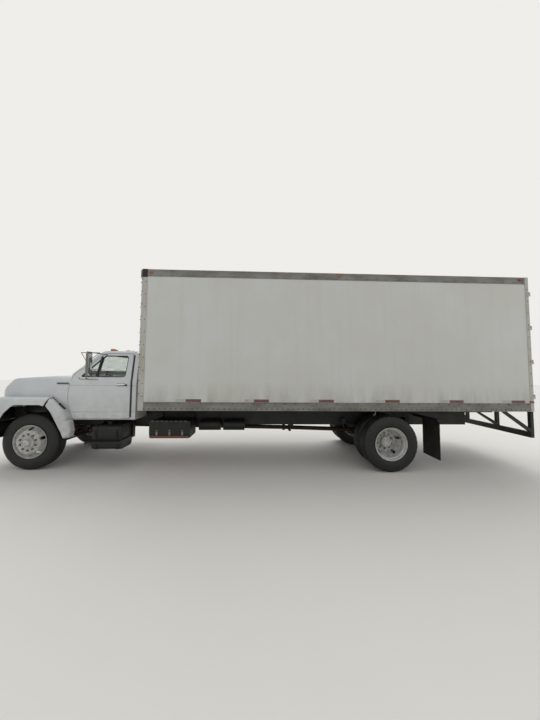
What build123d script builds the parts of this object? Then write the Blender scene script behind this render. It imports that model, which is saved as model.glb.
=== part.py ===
from build123d import *
from math import acos, atan2, cos, degrees, hypot, pi, radians, sin, sqrt, tan
import os

# A conventional box truck: sleeperless cab with a tilting hood, dual rear wheels, 24 foot van body
# Millimetres, +X forward, +Y to the truck's left, +Z up, origin on the ground at the middle of the length
# Stations are distances back from the bumper's face


# Overall layout, stations from the bumper's face
front_overhang = 800
wheelbase = 6560
cab_back_behind_axle = 1865
cab_body_gap = 105
body_length = 7315
rear_guard_reach = 75

# Frame
frame_top = 975
frame_depth = 260
frame_width = 864
frame_flange = 76
frame_plate = 8
frame_front_station = 215
frame_end_inset = 700
cross_member_width = 64
frame_end_behind = 1940

# Tyres and disc wheels
tyre_radius = 505
tyre_section = 254
tyre_facets = 36
bead_radius = 285.75
flange_radius = 298.5
rim_half_width = 118
rim_well_radius = 262
rim_plate = 8
disc_offset = 150
disc_plate = 11
disc_flat_radius = 200
hub_bore_radius = 110
hand_hole_count = 5
hand_hole_radius = 29
hand_hole_circle = 231
drum_radius = 203
drum_plate = 13
seat_gap = 0.3

# Front axle and steering
front_tyre_y = 865
kingpin_y = 720
kingpin_radius = 20
eye_radius = 38
eye_height = 90
ear_height = 48
spindle_radius = 40
beam_height = 90
beam_width = 84
beam_drop = 100
steering_arm_reach = 170
tie_rod_radius = 16
tie_rod_drop = 120

# Rear axle
rear_pair_y = 925
rear_pair_spacing = 330
axle_tube_radius = 68
axle_bowl_radius = 205
rear_hub_radius = 96

# Leaf springs
leaf_width = 76
leaf_thickness = 12
front_spring_y = 394
front_spring_span = 1240
front_leaf_count = 5
rear_spring_y = 510
rear_spring_span = 1360
rear_leaf_count = 8

# Cab, heights above the ground and distances behind the front axle
cab_half_width = 1000
cab_floor_z = 905
cab_roof_z = 2235
cab_wall = 56
floor_step_y = 520
floor_step_z = 1010
cab_mount_places = (790, 1760)
cab_mount_radius = 34
belt_z = 1600
roof_edge_half_width = 896
roof_edge_z = 2185
cowl_front = 400
cowl_top_z = 1548
cowl_back = 672
glass_base_z = 1742
glass_base = 690
glass_top = 1205
glass_top_z = 2176
toe_front_z = 1300
toe_back = 715
glass_plate = 6
glass_depth = 12
panel_gap = 7

# Door in the cab's side
door_back = 1755
door_bottom_z = 928
door_top_z = 2128
door_front_low = 745
door_front_high = 735
door_front_mid = 643
door_front_high_z = 1742
door_hinge_back = 700
door_rear_seam = 6
hinge_clearance = 6
window_bottom_z = 1686
window_top_z = 2086
window_back = 1672
window_front = 838
window_front_top = 1226
vent_post_low = 1128
vent_post_high = 1186
vent_post_width = 24

# Hood, distances ahead of or behind the front axle
hood_wall = 16
hood_half_width = 965
hood_bottom_z = 955
nose_reach = 670
nose_top_z = 1315
nose_slope_reach = 565
nose_slope_z = 1392
hood_front_top_reach = 400
hood_front_top_z = 1650
hood_rear_top_z = 1728
hood_rear = 680
hood_rear_slant = 28
hood_side_rear = 388
hood_shoulder_z = 1556
fender_half_width = 1140
fender_top_z = 1325
fender_front_reach = 600
arch_top_z = 1187
arch_front_reach = 418
arch_shoulder_reach = 205
arch_rear_reach = 290
fender_seam_low_z = 1166
fender_seam_low = 318
fender_seam_high_z = 1308
hood_pivot_station = 105
hood_pivot_z = 925
hood_pivot_y = 320
hood_pin_radius = 12

# Van body
body_width = 2438
body_top = 3660
rail_bottom = 1102
rail_height = 153
rail_lip = 6
side_plate = 19
side_inset = 7
top_rail_height = 135
roof_plate = 6
top_rail_plate = 8
roof_bow_count = 11
roof_bow_depth = 38
roof_bow_width = 44
corner_radius = 78
corner_width = 130
front_wall_plate = 26
deck_top = 1240
deck_plate = 34
floor_beam_height = 98
floor_beam_width = 44
floor_beam_count = 18
floor_beam_plate = 6
long_sill_width = 60
rear_post_width = 84
rear_post_depth = 64
rear_header_height = 150
rear_door_plate = 38
rear_door_gap = 6
rear_hinge_count = 4
rear_hinge_out = 6
rear_hinge_back = 16
rear_hinge_radius = 9
lock_rod_radius = 14
lock_rod_stand = 34

# Lamps, mirrors, bumper and guard
bumper_bottom_z = 560
bumper_top_z = 868
bumper_half_width = 1120
bumper_plate = 8
bumper_depth = 120
mirror_height = 404
mirror_width = 152
mirror_depth = 42
mirror_reach = 262
mirror_arm_radius = 9
guard_bottom_z = 600
guard_bar_height = 105
guard_half_width = 1130
guard_post_width = 60
guard_foot_plate = 14
guard_foot_inset = 10
guard_lap = 70
guard_stay_reach = 420

# Sizes of the running gear's small pieces
bumper_return = 60
bumper_bracket_lap = 60
bumper_bracket_width = 56
spring_eye_radius = 24
hanger_plate = 10
hanger_half = 42
rear_pad_height = 14
pivot_gap = 3
open_pivot_gap = 1
tie_pin_radius = 12
backing_plate_inset = 52
pinion_reach = 330
pinion_rise = 20
shaft_radius = 45
shaft_flange = 34
radiator_reach = 345
engine_reach = 270
radiator_top_z = 1500
engine_top_z = 1440
gearbox_back = 1150
tank_front = 1060
tank_length = 520
tank_inner_y = 500
tank_outer_y = 930
tank_low = 345
tank_high = 790
tool_front = 2090
tool_length = 755
tool_inner_y = 470
tool_outer_y = 905
tool_low = 556
tool_high = 860
exhaust_y = 640
exhaust_z = 775
air_tank_front = 2950
air_tank_length = 420
air_tank_y = 570
air_tank_z = 742
air_tank_radius = 110
flap_behind_axle = 910
flap_inner_y = 700
flap_outer_y = 1195
flap_bottom_z = 205
pillar_width = 100
step_front = 1030
step_length = 570
step_outer_y = 1065
step_width = 120
step_z = 490
skirt_round = 60
skirt_wall = 10
hood_gap = 8
apron_y = 620
grille_half_width = 500
grille_low = 1020
grille_high = 1280
grille_bar_count = 5
lamp_low = 1110
lamp_high = 1270
lamp_width = 250
wheel_hub_back = 1120
wheel_hub_y = 430
wheel_hub_z = 1560
column_tilt = 38
column_radius = 34
steering_wheel_radius = 225
cab_lamp_z = 2228
mirror_behind_axle = 1160
mirror_low_z = 1708
mirror_turn = 8
mirror_foot_back = 1275
mirror_foot_y = 895
mirror_foot_z = 2106

# Places worked out from the layout
overall_length = front_overhang + cab_back_behind_axle + cab_body_gap + body_length + rear_guard_reach
front_face_x = overall_length / 2
front_axle_x = front_face_x - front_overhang
rear_axle_x = front_axle_x - wheelbase
cab_back_x = front_axle_x - cab_back_behind_axle
body_front_x = cab_back_x - cab_body_gap
body_back_x = body_front_x - body_length
frame_front_x = front_face_x - frame_front_station
frame_back_x = body_back_x + frame_end_inset
frame_bottom = frame_top - frame_depth
axle_z = tyre_radius
body_half = body_width / 2
side_face_y = body_half - side_inset
rear_outer_y = rear_pair_y + rear_pair_spacing / 2
rear_inner_y = rear_pair_y - rear_pair_spacing / 2

# distance behind the front axle, drop below the rails' upper flanges
cross_member_table = [
    (-430, 100), (1240, 110), (2520, 0), (3900, 0), (5250, 0), (6150, 0),
    (wheelbase + 520, 0), (wheelbase + 1500, 0), (wheelbase + frame_end_behind, 0),
]

sections = {
    "X": Plane(origin=(0, 0, 0), x_dir=(0, 1, 0), z_dir=(1, 0, 0)),
    "Y": Plane(origin=(0, 0, 0), x_dir=(1, 0, 0), z_dir=(0, -1, 0)),
    "Z": Plane.XY,
}
directions = {"X": Vector(1, 0, 0), "Y": Vector(0, 1, 0), "Z": Vector(0, 0, 1)}


# Shared forms

def outline(corners):
    # a flat face from corners (a, b), rounded corners (a, b, radius) and arc points (a, b, "via")
    ends = []
    count = len(corners)
    for index, corner in enumerate(corners):
        point = Vector(corner[0], corner[1])
        if len(corner) == 2 or corner[2] == "via" or not corner[2]:
            ends.append((point, None, point))
            continue
        back = (Vector(*corners[index - 1][:2]) - point).normalized()
        onward = (Vector(*corners[(index + 1) % count][:2]) - point).normalized()
        half_angle = acos(back.dot(onward)) / 2
        reach = corner[2] / tan(half_angle)
        middle = point + (back + onward).normalized() * (corner[2] / sin(half_angle) - corner[2])
        ends.append((point + back * reach, middle, point + onward * reach))
    edges = []
    for index, (start, middle, end) in enumerate(ends):
        if corners[index][2:] == ("via",):
            continue
        following = (index + 1) % count
        if middle is not None:
            edges.append(ThreePointArc(start, middle, end))
        if corners[following][2:] == ("via",):
            edges.append(ThreePointArc(end, ends[following][0], ends[(following + 1) % count][0]))
        elif (ends[following][0] - end).length > 0.001:
            edges.append(Line(end, ends[following][0]))
    return make_face(edges)


def slab(face, along, low, high):
    # a flat face of (y, z), (x, z) or (x, y) points, swept along X, Y or Z
    placed = Pos(*(directions[along] * low)) * (sections[along] * face)
    return extrude(placed, amount=high - low, dir=directions[along])


def prism(corners, along, low, high):
    return slab(outline(corners), along, low, high)


def block(x_span, y_span, z_span):
    size = [span[1] - span[0] for span in (x_span, y_span, z_span)]
    middle = [(span[1] + span[0]) / 2 for span in (x_span, y_span, z_span)]
    return Pos(*middle) * Box(*size)


def rod(start, end, radius):
    # a round bar between two points
    path = Vector(*end) - Vector(*start)
    return Plane(origin=start, z_dir=path) * Cylinder(
        radius, path.length, align=(Align.CENTER, Align.CENTER, Align.MIN))


def turned(profile, x, y, z, outward=1):
    # a profile of (radius, distance) points turned about an axle along Y
    points = [(radius, outward * distance) for radius, distance in profile]
    face = make_face(Polyline(*points, close=True))
    solid = revolve(face, Axis.Y, 360)
    return Pos(x, y, z) * solid


def mirrored(shape):
    return mirror(shape, Plane.XZ)


def both(shape):
    # a piece and its mirror image as one node
    return [shape, mirrored(shape)]


def save(name, shapes):
    solids = []
    for shape in (shapes if isinstance(shapes, list) else [shapes]):
        solids.extend(shape.solids())
    whole = solids[0] if len(solids) == 1 else Compound(children=solids)
    export_step(whole, os.path.join("parts", name + ".step"))


# Frame and what hangs on it

def channel(x_span, web_y, inward, z_span, flange, plate):
    # a channel bar along X, its web at web_y and its flanges towards the truck's middle
    low, high = z_span
    tip = web_y + inward * flange
    skin = web_y + inward * plate
    corners = [(web_y, low), (tip, low), (tip, low + plate), (skin, low + plate),
               (skin, high - plate), (tip, high - plate), (tip, high), (web_y, high)]
    return prism(corners, "X", *x_span)


def frame_rails():
    # two channel rails, each with the cab's mounts on it and the fork that carries the hood's pivot
    half = frame_width / 2
    rails = []
    for side in (1, -1):
        rail = channel((frame_back_x, frame_front_x), side * half, -side, (frame_bottom, frame_top),
                       frame_flange, frame_plate)
        rail += hood_pivot_fork(side)
        for behind in cab_mount_places:
            mount_x = front_axle_x - behind
            mount_y = side * (half - frame_flange / 2)
            rail += rod((mount_x, mount_y, frame_top), (mount_x, mount_y, floor_step_z - seat_gap),
                        cab_mount_radius)
        rails.append(rail)
    return rails


def cross_members():
    # channel bars between the rails, lower under the engine and the cab
    end_y = frame_width / 2 - frame_plate - seat_gap
    low = frame_bottom + frame_plate + seat_gap
    members = []
    for behind, drop in cross_member_table:
        x = front_axle_x - behind
        high = frame_top - frame_plate - seat_gap - drop
        front = x + cross_member_width
        skin = x + frame_plate
        corners = [(x, low), (front, low), (front, low + frame_plate), (skin, low + frame_plate),
                   (skin, high - frame_plate), (front, high - frame_plate), (front, high), (x, high)]
        members.append(prism(corners, "Y", -end_y, end_y))
    return members


def hood_pivot_fork(side):
    # an arm on the rail's front end that holds the hood's pivot pin
    pivot_x = front_face_x - hood_pivot_station
    inside = hood_pivot_y * side
    outside = (frame_width / 2) * side
    low = frame_top - 130
    arm = prism([(frame_front_x, low), (frame_front_x, frame_top), (frame_front_x - 60, frame_top),
                 (frame_front_x - 60, low)], "Y", *sorted((inside + side * 30, outside)))
    ear = prism([(frame_front_x - 1, bumper_top_z + 12), (pivot_x + 30, hood_pivot_z - 30, 20),
                 (pivot_x + 24, hood_pivot_z + 20, 20), (frame_front_x - 1, hood_pivot_z + 20)], "Y",
                *sorted((inside + side * 30, inside + side * 54)))
    pin = rod((pivot_x, inside - side * 26, hood_pivot_z), (pivot_x, inside + side * 40, hood_pivot_z),
              hood_pin_radius)
    return arm + ear + pin


def front_bumper():
    # a pressed steel channel, bowed in plan and open to the rear, on two frame brackets
    face = front_face_x
    ends = face - bumper_depth
    inner_y = bumper_half_width - bumper_plate
    plan = [(ends, -bumper_half_width), (face, 0, "via"), (ends, bumper_half_width),
            (ends - bumper_return, bumper_half_width), (ends - bumper_return, -bumper_half_width)]
    inside = [(ends - bumper_plate, -inner_y), (face - bumper_plate, 0, "via"),
              (ends - bumper_plate, inner_y),
              (ends - bumper_return - 1, inner_y), (ends - bumper_return - 1, -inner_y)]
    shell = prism(plan, "Z", bumper_bottom_z, bumper_top_z)
    shell -= prism(inside, "Z", bumper_bottom_z + bumper_plate, bumper_top_z - bumper_plate)
    bracket_end = face - bumper_depth * (frame_width / 2 / bumper_half_width) ** 2 - 2
    for side in (1, -1):
        outside = frame_width / 2 - frame_plate - seat_gap
        shell += block((frame_front_x - bumper_bracket_lap, bracket_end),
                       sorted((side * outside, side * (outside - bumper_bracket_width))),
                       (frame_bottom + 40, frame_bottom + 120))
    return shell


def leaf_pack(centre_x, centre_y, seat_z, span, leaf_count):
    # curved leaves stacked under the main leaf, with an eye rolled at each end of it
    rise = span * 0.085
    radius = (span * span / 4 + rise * rise) / (2 * rise)
    centre_z = seat_z + leaf_count * leaf_thickness + radius
    pack = None
    for leaf in range(leaf_count):
        upper = radius + leaf * leaf_thickness
        lower = upper + leaf_thickness
        angle = (span / 2) / radius * (1 - 0.8 * leaf / leaf_count)
        corners = [(-upper * sin(angle), -upper * cos(angle)), (0, -upper, "via"),
                   (upper * sin(angle), -upper * cos(angle)), (lower * sin(angle), -lower * cos(angle)),
                   (0, -lower, "via"), (-lower * sin(angle), -lower * cos(angle))]
        band = prism(corners, "Y", centre_y - leaf_width / 2, centre_y + leaf_width / 2)
        pack = band if pack is None else pack + band
    angle = (span / 2) / radius
    for end in (1, -1):
        eye_x = end * radius * sin(angle)
        eye_z = -radius * cos(angle) + leaf_thickness
        pack += rod((eye_x, centre_y - leaf_width / 2, eye_z), (eye_x, centre_y + leaf_width / 2, eye_z),
                    spring_eye_radius)
    eyes = [(centre_x + end * radius * sin(angle), centre_z - radius * cos(angle) + leaf_thickness)
            for end in (1, -1)]
    return Pos(centre_x, 0, centre_z) * pack, eyes


def leaf_springs():
    springs = []
    for centre_x, centre_y, seat_z, span, count in spring_table():
        for side in (1, -1):
            springs.append(leaf_pack(centre_x, side * centre_y, seat_z, span, count)[0])
    return springs


def spring_table():
    # axle place along X, spring's distance from the middle, seat height, span, number of leaves
    front_seat = axle_z - beam_drop + beam_height / 2 + seat_gap
    rear_seat = axle_z + axle_tube_radius + rear_pad_height + seat_gap
    return [
        (front_axle_x, front_spring_y, front_seat, front_spring_span, front_leaf_count),
        (rear_axle_x, rear_spring_y, rear_seat, rear_spring_span, rear_leaf_count),
    ]


def spring_hangers():
    # cheeks on the frame rails on both sides of each spring eye, with a pin through
    hangers = []
    for centre_x, centre_y, seat_z, span, count in spring_table():
        eyes = leaf_pack(centre_x, centre_y, seat_z, span, count)[1]
        outboard = centre_y > frame_width / 2
        for eye_x, eye_z in eyes:
            low = eye_z - 34
            high = frame_bottom + 150 if outboard else frame_bottom - seat_gap
            width = leaf_width / 2 + seat_gap
            span_x = (eye_x - hanger_half, eye_x + hanger_half)
            outer_y = centre_y + width + hanger_plate
            inner_y = centre_y - width - hanger_plate
            hanger = block(span_x, (centre_y + width, outer_y), (low, high))
            hanger += block(span_x, (inner_y, centre_y - width), (low, high))
            if outboard:
                hanger += block(span_x, (frame_width / 2 + seat_gap, outer_y),
                                (eye_z + spring_eye_radius + 12, high))
            else:
                hanger += block(span_x, (inner_y, outer_y),
                                (min(eye_z + spring_eye_radius + 6, high - hanger_plate), high))
            hangers += both(hanger)
    return hangers


def front_axle():
    # a dropped beam: flat between the spring pads, rising to an eye for each kingpin
    low_z = axle_z - beam_drop - beam_height / 2
    high_z = axle_z - beam_drop + beam_height / 2
    pad_y = front_spring_y + leaf_width / 2 + 40
    neck_y = kingpin_y - eye_radius - 16
    eye_low = axle_z - eye_height / 2
    eye_high = axle_z + eye_height / 2
    half = [(0, low_z), (pad_y, low_z, 60), (neck_y, eye_low, 40), (kingpin_y, eye_low),
            (kingpin_y, eye_high), (neck_y, eye_high, 40), (pad_y, high_z, 60), (0, high_z)]
    web = beam_width / 2
    beam = prism(half, "X", front_axle_x - web, front_axle_x + web)
    pocket_depth = web - 9
    pocket = prism([(-1, low_z + 18), (pad_y, low_z + 18), (pad_y, high_z - 18), (-1, high_z - 18)],
                   "X", front_axle_x + web - pocket_depth, front_axle_x + web + 1)
    beam -= pocket
    beam -= Pos(front_axle_x, 0, 0) * mirror(Pos(-front_axle_x, 0, 0) * pocket, Plane.YZ)
    neck = block((front_axle_x - web - 1, front_axle_x + web + 1), (neck_y, kingpin_y + 1),
                 (eye_low - 1, eye_high + 1))
    slim = block((front_axle_x - eye_radius + 6, front_axle_x + eye_radius - 6), (neck_y, kingpin_y),
                 (eye_low, eye_high))
    beam = beam - neck + slim
    beam += rod((front_axle_x, kingpin_y, eye_low), (front_axle_x, kingpin_y, eye_high), eye_radius)
    beam -= rod((front_axle_x, kingpin_y, eye_low - 1), (front_axle_x, kingpin_y, eye_high + 1),
                kingpin_radius + seat_gap)
    pad = block((front_axle_x - 110, front_axle_x + 110),
                (front_spring_y - leaf_width / 2, front_spring_y + leaf_width / 2), (high_z - 24, high_z))
    beam += pad
    return beam + mirrored(beam)


def knuckle(side):
    # kingpin and yoke, spindle, brake backing plate and steering arm of one front wheel
    centre_y = front_tyre_y
    ear_low = axle_z - eye_height / 2 - pivot_gap
    ear_high = axle_z + eye_height / 2 + pivot_gap
    top = ear_high + ear_height
    bottom = ear_low - ear_height
    web_y = kingpin_y + eye_radius + 8
    back_y = centre_y - backing_plate_inset
    x = front_axle_x
    body = rod((x, kingpin_y, bottom), (x, kingpin_y, top), kingpin_radius)
    for low, high in ((bottom, ear_low), (ear_high, top)):
        body += rod((x, kingpin_y, low), (x, kingpin_y, high), eye_radius + 6)
        body += block((x - eye_radius - 6, x + eye_radius + 6), (kingpin_y, web_y + 4), (low, high))
    body += block((x - eye_radius - 6, x + eye_radius + 6), (web_y, back_y), (bottom, top))
    body += rod((x, back_y - 1, axle_z), (x, centre_y + disc_offset - 20, axle_z), spindle_radius)
    body += rod((x, back_y - 8, axle_z), (x, back_y, axle_z), drum_radius - drum_plate - 4)
    arm_tip = x - steering_arm_reach
    arm_top = bottom + 34
    body += prism([(x, kingpin_y - 26), (x, kingpin_y + 26), (arm_tip - 26, kingpin_y + 24, 24),
                   (arm_tip - 26, kingpin_y - 24, 24)], "Z", bottom, arm_top)
    body += rod((arm_tip, kingpin_y, axle_z - tie_rod_drop - 26), (arm_tip, kingpin_y, bottom + 2),
                tie_pin_radius)
    return body if side > 0 else mirrored(body)


def tie_rod():
    # the bar between the two steering arms, with an eye round each arm's pin
    x = front_axle_x - steering_arm_reach
    z = axle_z - tie_rod_drop
    bar = rod((x, -kingpin_y, z), (x, kingpin_y, z), tie_rod_radius)
    for y, gap in ((kingpin_y, seat_gap), (-kingpin_y, open_pivot_gap)):
        bar += rod((x, y, z - 20), (x, y, z + 20), tie_pin_radius + 14)
        bar -= rod((x, y, z - 21), (x, y, z + 21), tie_pin_radius + gap)
    return bar


def faceted(rows, x, y, z):
    # flat facets ruled between rings of corners, from rows of (radius to the flats, distance) along Y
    rings = []
    for radius, distance in rows:
        level = Plane(origin=(x, y + distance, z), x_dir=(0, 0, -1), z_dir=(0, 1, 0))
        rings.append(level * RegularPolygon(radius / cos(pi / tyre_facets), tyre_facets))
    return loft(rings, ruled=True)


def tyre(x, y):
    # a hollow tyre with flat tread, rounded shoulders and beads that sit on the rim
    half = tyre_section / 2
    bead = bead_radius + seat_gap
    crown = tyre_radius * cos(pi / tyre_facets)
    outside = [(bead, half - 24), (bead_radius + 108, half), (crown - 20, half - 20), (crown, half - 70)]
    inside = [(bead, half - 23), (bead, half - 44), (crown - 24, half - 60)]
    solid = faceted([(r, -w) for r, w in outside] + [(r, w) for r, w in reversed(outside)], x, y, axle_z)
    cavity = faceted([(r, -w) for r, w in inside] + [(r, w) for r, w in reversed(inside)], x, y, axle_z)
    return solid - cavity


def disc_wheel(x, y, face, disc_side):
    # a pressed rim with its drop centre and a bolted disc with five hand holes
    well = rim_well_radius
    bead_under = bead_radius - rim_plate
    under = [(bead_under, rim_half_width - 22), (bead_under, 82), (well - rim_plate, 62)]
    rim = [
        (flange_radius, rim_half_width), (flange_radius, rim_half_width - 6),
        (bead_radius, rim_half_width - 14),
        (bead_radius, 80), (well, 60),
    ]
    ring = rim + [(r, -w) for r, w in reversed(rim)]
    bottom = [(flange_radius - 8, rim_half_width)] + under
    ring += [(r, -w) for r, w in bottom] + list(reversed(bottom))
    wheel = turned(ring, x, y, axle_z)
    base = well - rim_plate + 1
    disc = [
        (hub_bore_radius, face - disc_plate), (hub_bore_radius, face), (disc_flat_radius, face),
        (disc_flat_radius + 14, face - 8), (base, 52), (base, 30), (disc_flat_radius + 6, face - 24),
        (disc_flat_radius - 4, face - disc_plate),
    ]
    plate = turned(disc, x, y, axle_z, disc_side)
    for hole in range(hand_hole_count):
        angle = radians(90 + 360 * hole / hand_hole_count)
        hole_x = x + hand_hole_circle * cos(angle)
        hole_z = axle_z + hand_hole_circle * sin(angle)
        plate -= rod((hole_x, y - 190, hole_z), (hole_x, y + 190, hole_z), hand_hole_radius)
    return wheel + plate


def front_hub(x, y, outward):
    # hub, brake drum and oil cap, bored for the spindle
    face = disc_offset - disc_plate
    profile = [
        (spindle_radius + seat_gap, -backing_plate_inset + 12),
        (spindle_radius + 34, -backing_plate_inset + 12),
        (spindle_radius + 34, face - 44), (drum_radius - drum_plate, face - 44),
        (drum_radius - drum_plate, -backing_plate_inset + 8), (drum_radius, -backing_plate_inset + 8),
        (drum_radius, face - 44), (drum_radius - 12, face - 26), (150, face - 26), (150, face),
        (hub_bore_radius - seat_gap, face), (hub_bore_radius - seat_gap, face + 26), (78, face + 34),
        (70, face + 62), (54, face + 70), (0, face + 70), (0, face + 10),
        (spindle_radius + seat_gap, face + 10),
    ]
    return turned(profile, x, y, axle_z, outward)


def front_wheel():
    return disc_wheel(front_axle_x, front_tyre_y, disc_offset, 1) + front_hub(front_axle_x, front_tyre_y, 1)


def rear_hub(x, outward):
    # drum behind the paired discs and the hub that stands out through the outer one
    face = rear_pair_y
    profile = [
        (axle_tube_radius + seat_gap, -150), (drum_radius - drum_plate, -150),
        (drum_radius - drum_plate, -170),
        (drum_radius, -170), (drum_radius, -40), (150, -30), (150, -disc_plate - seat_gap),
        (hub_bore_radius - seat_gap, -disc_plate - seat_gap), (hub_bore_radius - seat_gap, disc_plate + 8),
        (rear_hub_radius, disc_plate + 14), (rear_hub_radius, 92), (84, 104), (0, 104), (0, 30),
        (axle_tube_radius + seat_gap, 30),
    ]
    return turned(profile, x, face * outward, axle_z, outward)


def rear_axle():
    # the tube with its bowl for the final drive, spring pads and brake backing plates
    end_y = rear_pair_y + 20
    plate_y = rear_pair_y - 176
    profile = [
        (0, -end_y), (axle_tube_radius, -end_y), (axle_tube_radius, -300), (axle_bowl_radius - 40, -120),
        (axle_bowl_radius, -60), (axle_bowl_radius, 60), (axle_bowl_radius - 40, 120),
        (axle_tube_radius, 300),
        (axle_tube_radius, end_y), (0, end_y),
    ]
    axle = turned(profile, rear_axle_x, 0, axle_z)
    axle += rod((rear_axle_x, 0, axle_z), (rear_axle_x + pinion_reach, 0, axle_z + pinion_rise), 88)
    for side in (1, -1):
        axle += block((rear_axle_x - 100, rear_axle_x + 100),
                      sorted((side * (rear_spring_y - leaf_width / 2),
                              side * (rear_spring_y + leaf_width / 2))),
                      (axle_z, axle_z + axle_tube_radius + rear_pad_height))
        axle += rod((rear_axle_x, side * (plate_y - 8), axle_z), (rear_axle_x, side * plate_y, axle_z),
                    drum_radius - 2)
    return axle


def pinion_place(distance):
    # a place on the final drive's axis, a distance ahead of the axle's middle
    share = distance / hypot(pinion_reach, pinion_rise)
    return (rear_axle_x + pinion_reach * share, 0, axle_z + pinion_rise * share)


def drive_shaft():
    # three tubes from the gearbox to the final drive, joined at crosses, with two bearings under the frame
    flange = hypot(pinion_reach, pinion_rise) + seat_gap
    end = pinion_place(flange + shaft_flange)
    # distance behind the front axle and height of each cross
    crosses = [(1320, 640), (2960, 610), (4700, 575)]
    points = [(front_axle_x - behind, 0, z) for behind, z in crosses] + [end]
    gearbox_x = front_axle_x - gearbox_back - seat_gap
    shaft = rod((gearbox_x, 0, points[0][2]), points[0], 38)
    shaft += rod(pinion_place(flange), end, 62)
    for start, stop in zip(points, points[1:]):
        shaft += rod(start, stop, shaft_radius)
        shaft += rod((start[0], -62, start[2]), (start[0], 62, start[2]), 30)
        shaft += rod((start[0], 0, start[2] - 62), (start[0], 0, start[2] + 62), 30)
    bearing_half = frame_width / 2 - 10
    for x, y, z in points[1:3]:
        bearing = x - 130
        shaft += block((bearing - 24, bearing + 24), (-96, 96), (z - 70, frame_bottom - seat_gap))
        shaft += block((bearing - 34, bearing + 34), (-bearing_half, bearing_half),
                       (frame_bottom - seat_gap - 26, frame_bottom - seat_gap))
    return shaft


# Power plant, tanks and exhaust

def engine_block():
    # the engine and gearbox as one plain block at their real place, low under the cab's floor
    x = front_axle_x
    low = frame_bottom - 25
    floor = floor_step_z - 15
    engine = block((x - cowl_front + 15, x + engine_reach), (-270, 270), (low, engine_top_z))
    engine += block((x - 620, x - cowl_front + 15), (-270, 270), (low, floor))
    gearbox = block((x - gearbox_back, x - 620), (-170, 170), (low - 50, floor - 15))
    return engine + gearbox


def radiator():
    x = front_axle_x + radiator_reach
    core = block((x, x + 70), (-390, 390), (frame_top + seat_gap, radiator_top_z))
    for z in (frame_top + seat_gap, radiator_top_z - 70):
        core += block((x - 12, x + 82), (-400, 400), (z, z + 70))
    return core


def fuel_tank():
    # a round-cornered tank under the left door on two straps, with a step above and below
    front = front_axle_x - tank_front
    back = front - tank_length
    section = [(tank_inner_y, tank_low, 70), (tank_outer_y, tank_low, 70), (tank_outer_y, tank_high, 70),
               (tank_inner_y, tank_high, 70)]
    tank = prism(section, "X", back, front)
    band = [(tank_inner_y - 6, tank_low - 6, 74), (tank_outer_y + 6, tank_low - 6, 74),
            (tank_outer_y + 6, tank_high + 6, 74), (tank_inner_y - 6, tank_high + 6, 74)]
    for x in (front - 70, back + 70):
        tank += prism(band, "X", x - 22, x + 22)
        tank += block((x - 30, x + 30), (frame_width / 2 + seat_gap, tank_inner_y),
                      (frame_bottom, tank_high - 40))
    return tank


def tool_box():
    # a lidded box behind the cab, hung on the left rail by two brackets
    front = front_axle_x - tool_front
    box = block((front - tool_length, front), (tool_inner_y, tool_outer_y), (tool_low, tool_high))
    box += block((front - tool_length - 4, front + 4), (tool_outer_y - 4, tool_outer_y + 6),
                 (tool_low + 60, tool_high + 4))
    rail_y = frame_width / 2 + seat_gap
    for x in (front - 60, front - tool_length + 60):
        box += block((x - 30, x + 30), (rail_y, tool_inner_y), (tool_low + 10, frame_top - 20))
    return box


def air_tanks():
    # two brake air tanks in line along the left rail behind the tool box
    tanks = []
    for number in range(2):
        front = front_axle_x - air_tank_front - number * (air_tank_length + 60)
        back = front - air_tank_length
        tank = rod((back, air_tank_y, air_tank_z), (front, air_tank_y, air_tank_z), air_tank_radius)
        for x in (front - 90, back + 90):
            tank += block((x - 18, x + 18), (frame_width / 2 + seat_gap, air_tank_y),
                          (air_tank_z - 30, air_tank_z + 60))
        tanks.append(tank)
    return tanks


def exhaust():
    # down pipe, silencer and tail pipe along the right rail
    y = -exhaust_y
    z = exhaust_z
    # distance behind the front axle, Y and Z of each bend; the silencer is the fourth run
    points = [(-392, -316, 655), (-622, -600, 650), (-960, y, z), (-1500, y, z), (-2500, y, z), (-3300, y, z),
              (-3420, y - 200, z)]
    pipe = None
    for number, (start, end) in enumerate(zip(points, points[1:])):
        radius = 115 if number == 3 else 45
        here = rod((front_axle_x + start[0], start[1], start[2]), (front_axle_x + end[0], end[1], end[2]),
                   radius)
        joint = Pos(front_axle_x + end[0], end[1], end[2]) * Sphere(45)
        pipe = here + joint if pipe is None else pipe + here + joint
    for back in (-1650, -2350):
        x = front_axle_x + back
        pipe += block((x - 18, x + 18), (y, -frame_width / 2 - seat_gap), (z + 60, z + 100))
    return pipe


def mud_flaps():
    # rubber flaps behind the rear wheels, each on a bar from the frame
    x = rear_axle_x - flap_behind_axle
    top = frame_top - 20
    flap = block((x - 10, x), (flap_inner_y, flap_outer_y), (flap_bottom_z, top))
    bar = block((x, x + 30), (frame_width / 2 + seat_gap, flap_outer_y), (top - 50, top))
    return both(flap + bar)


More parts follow.
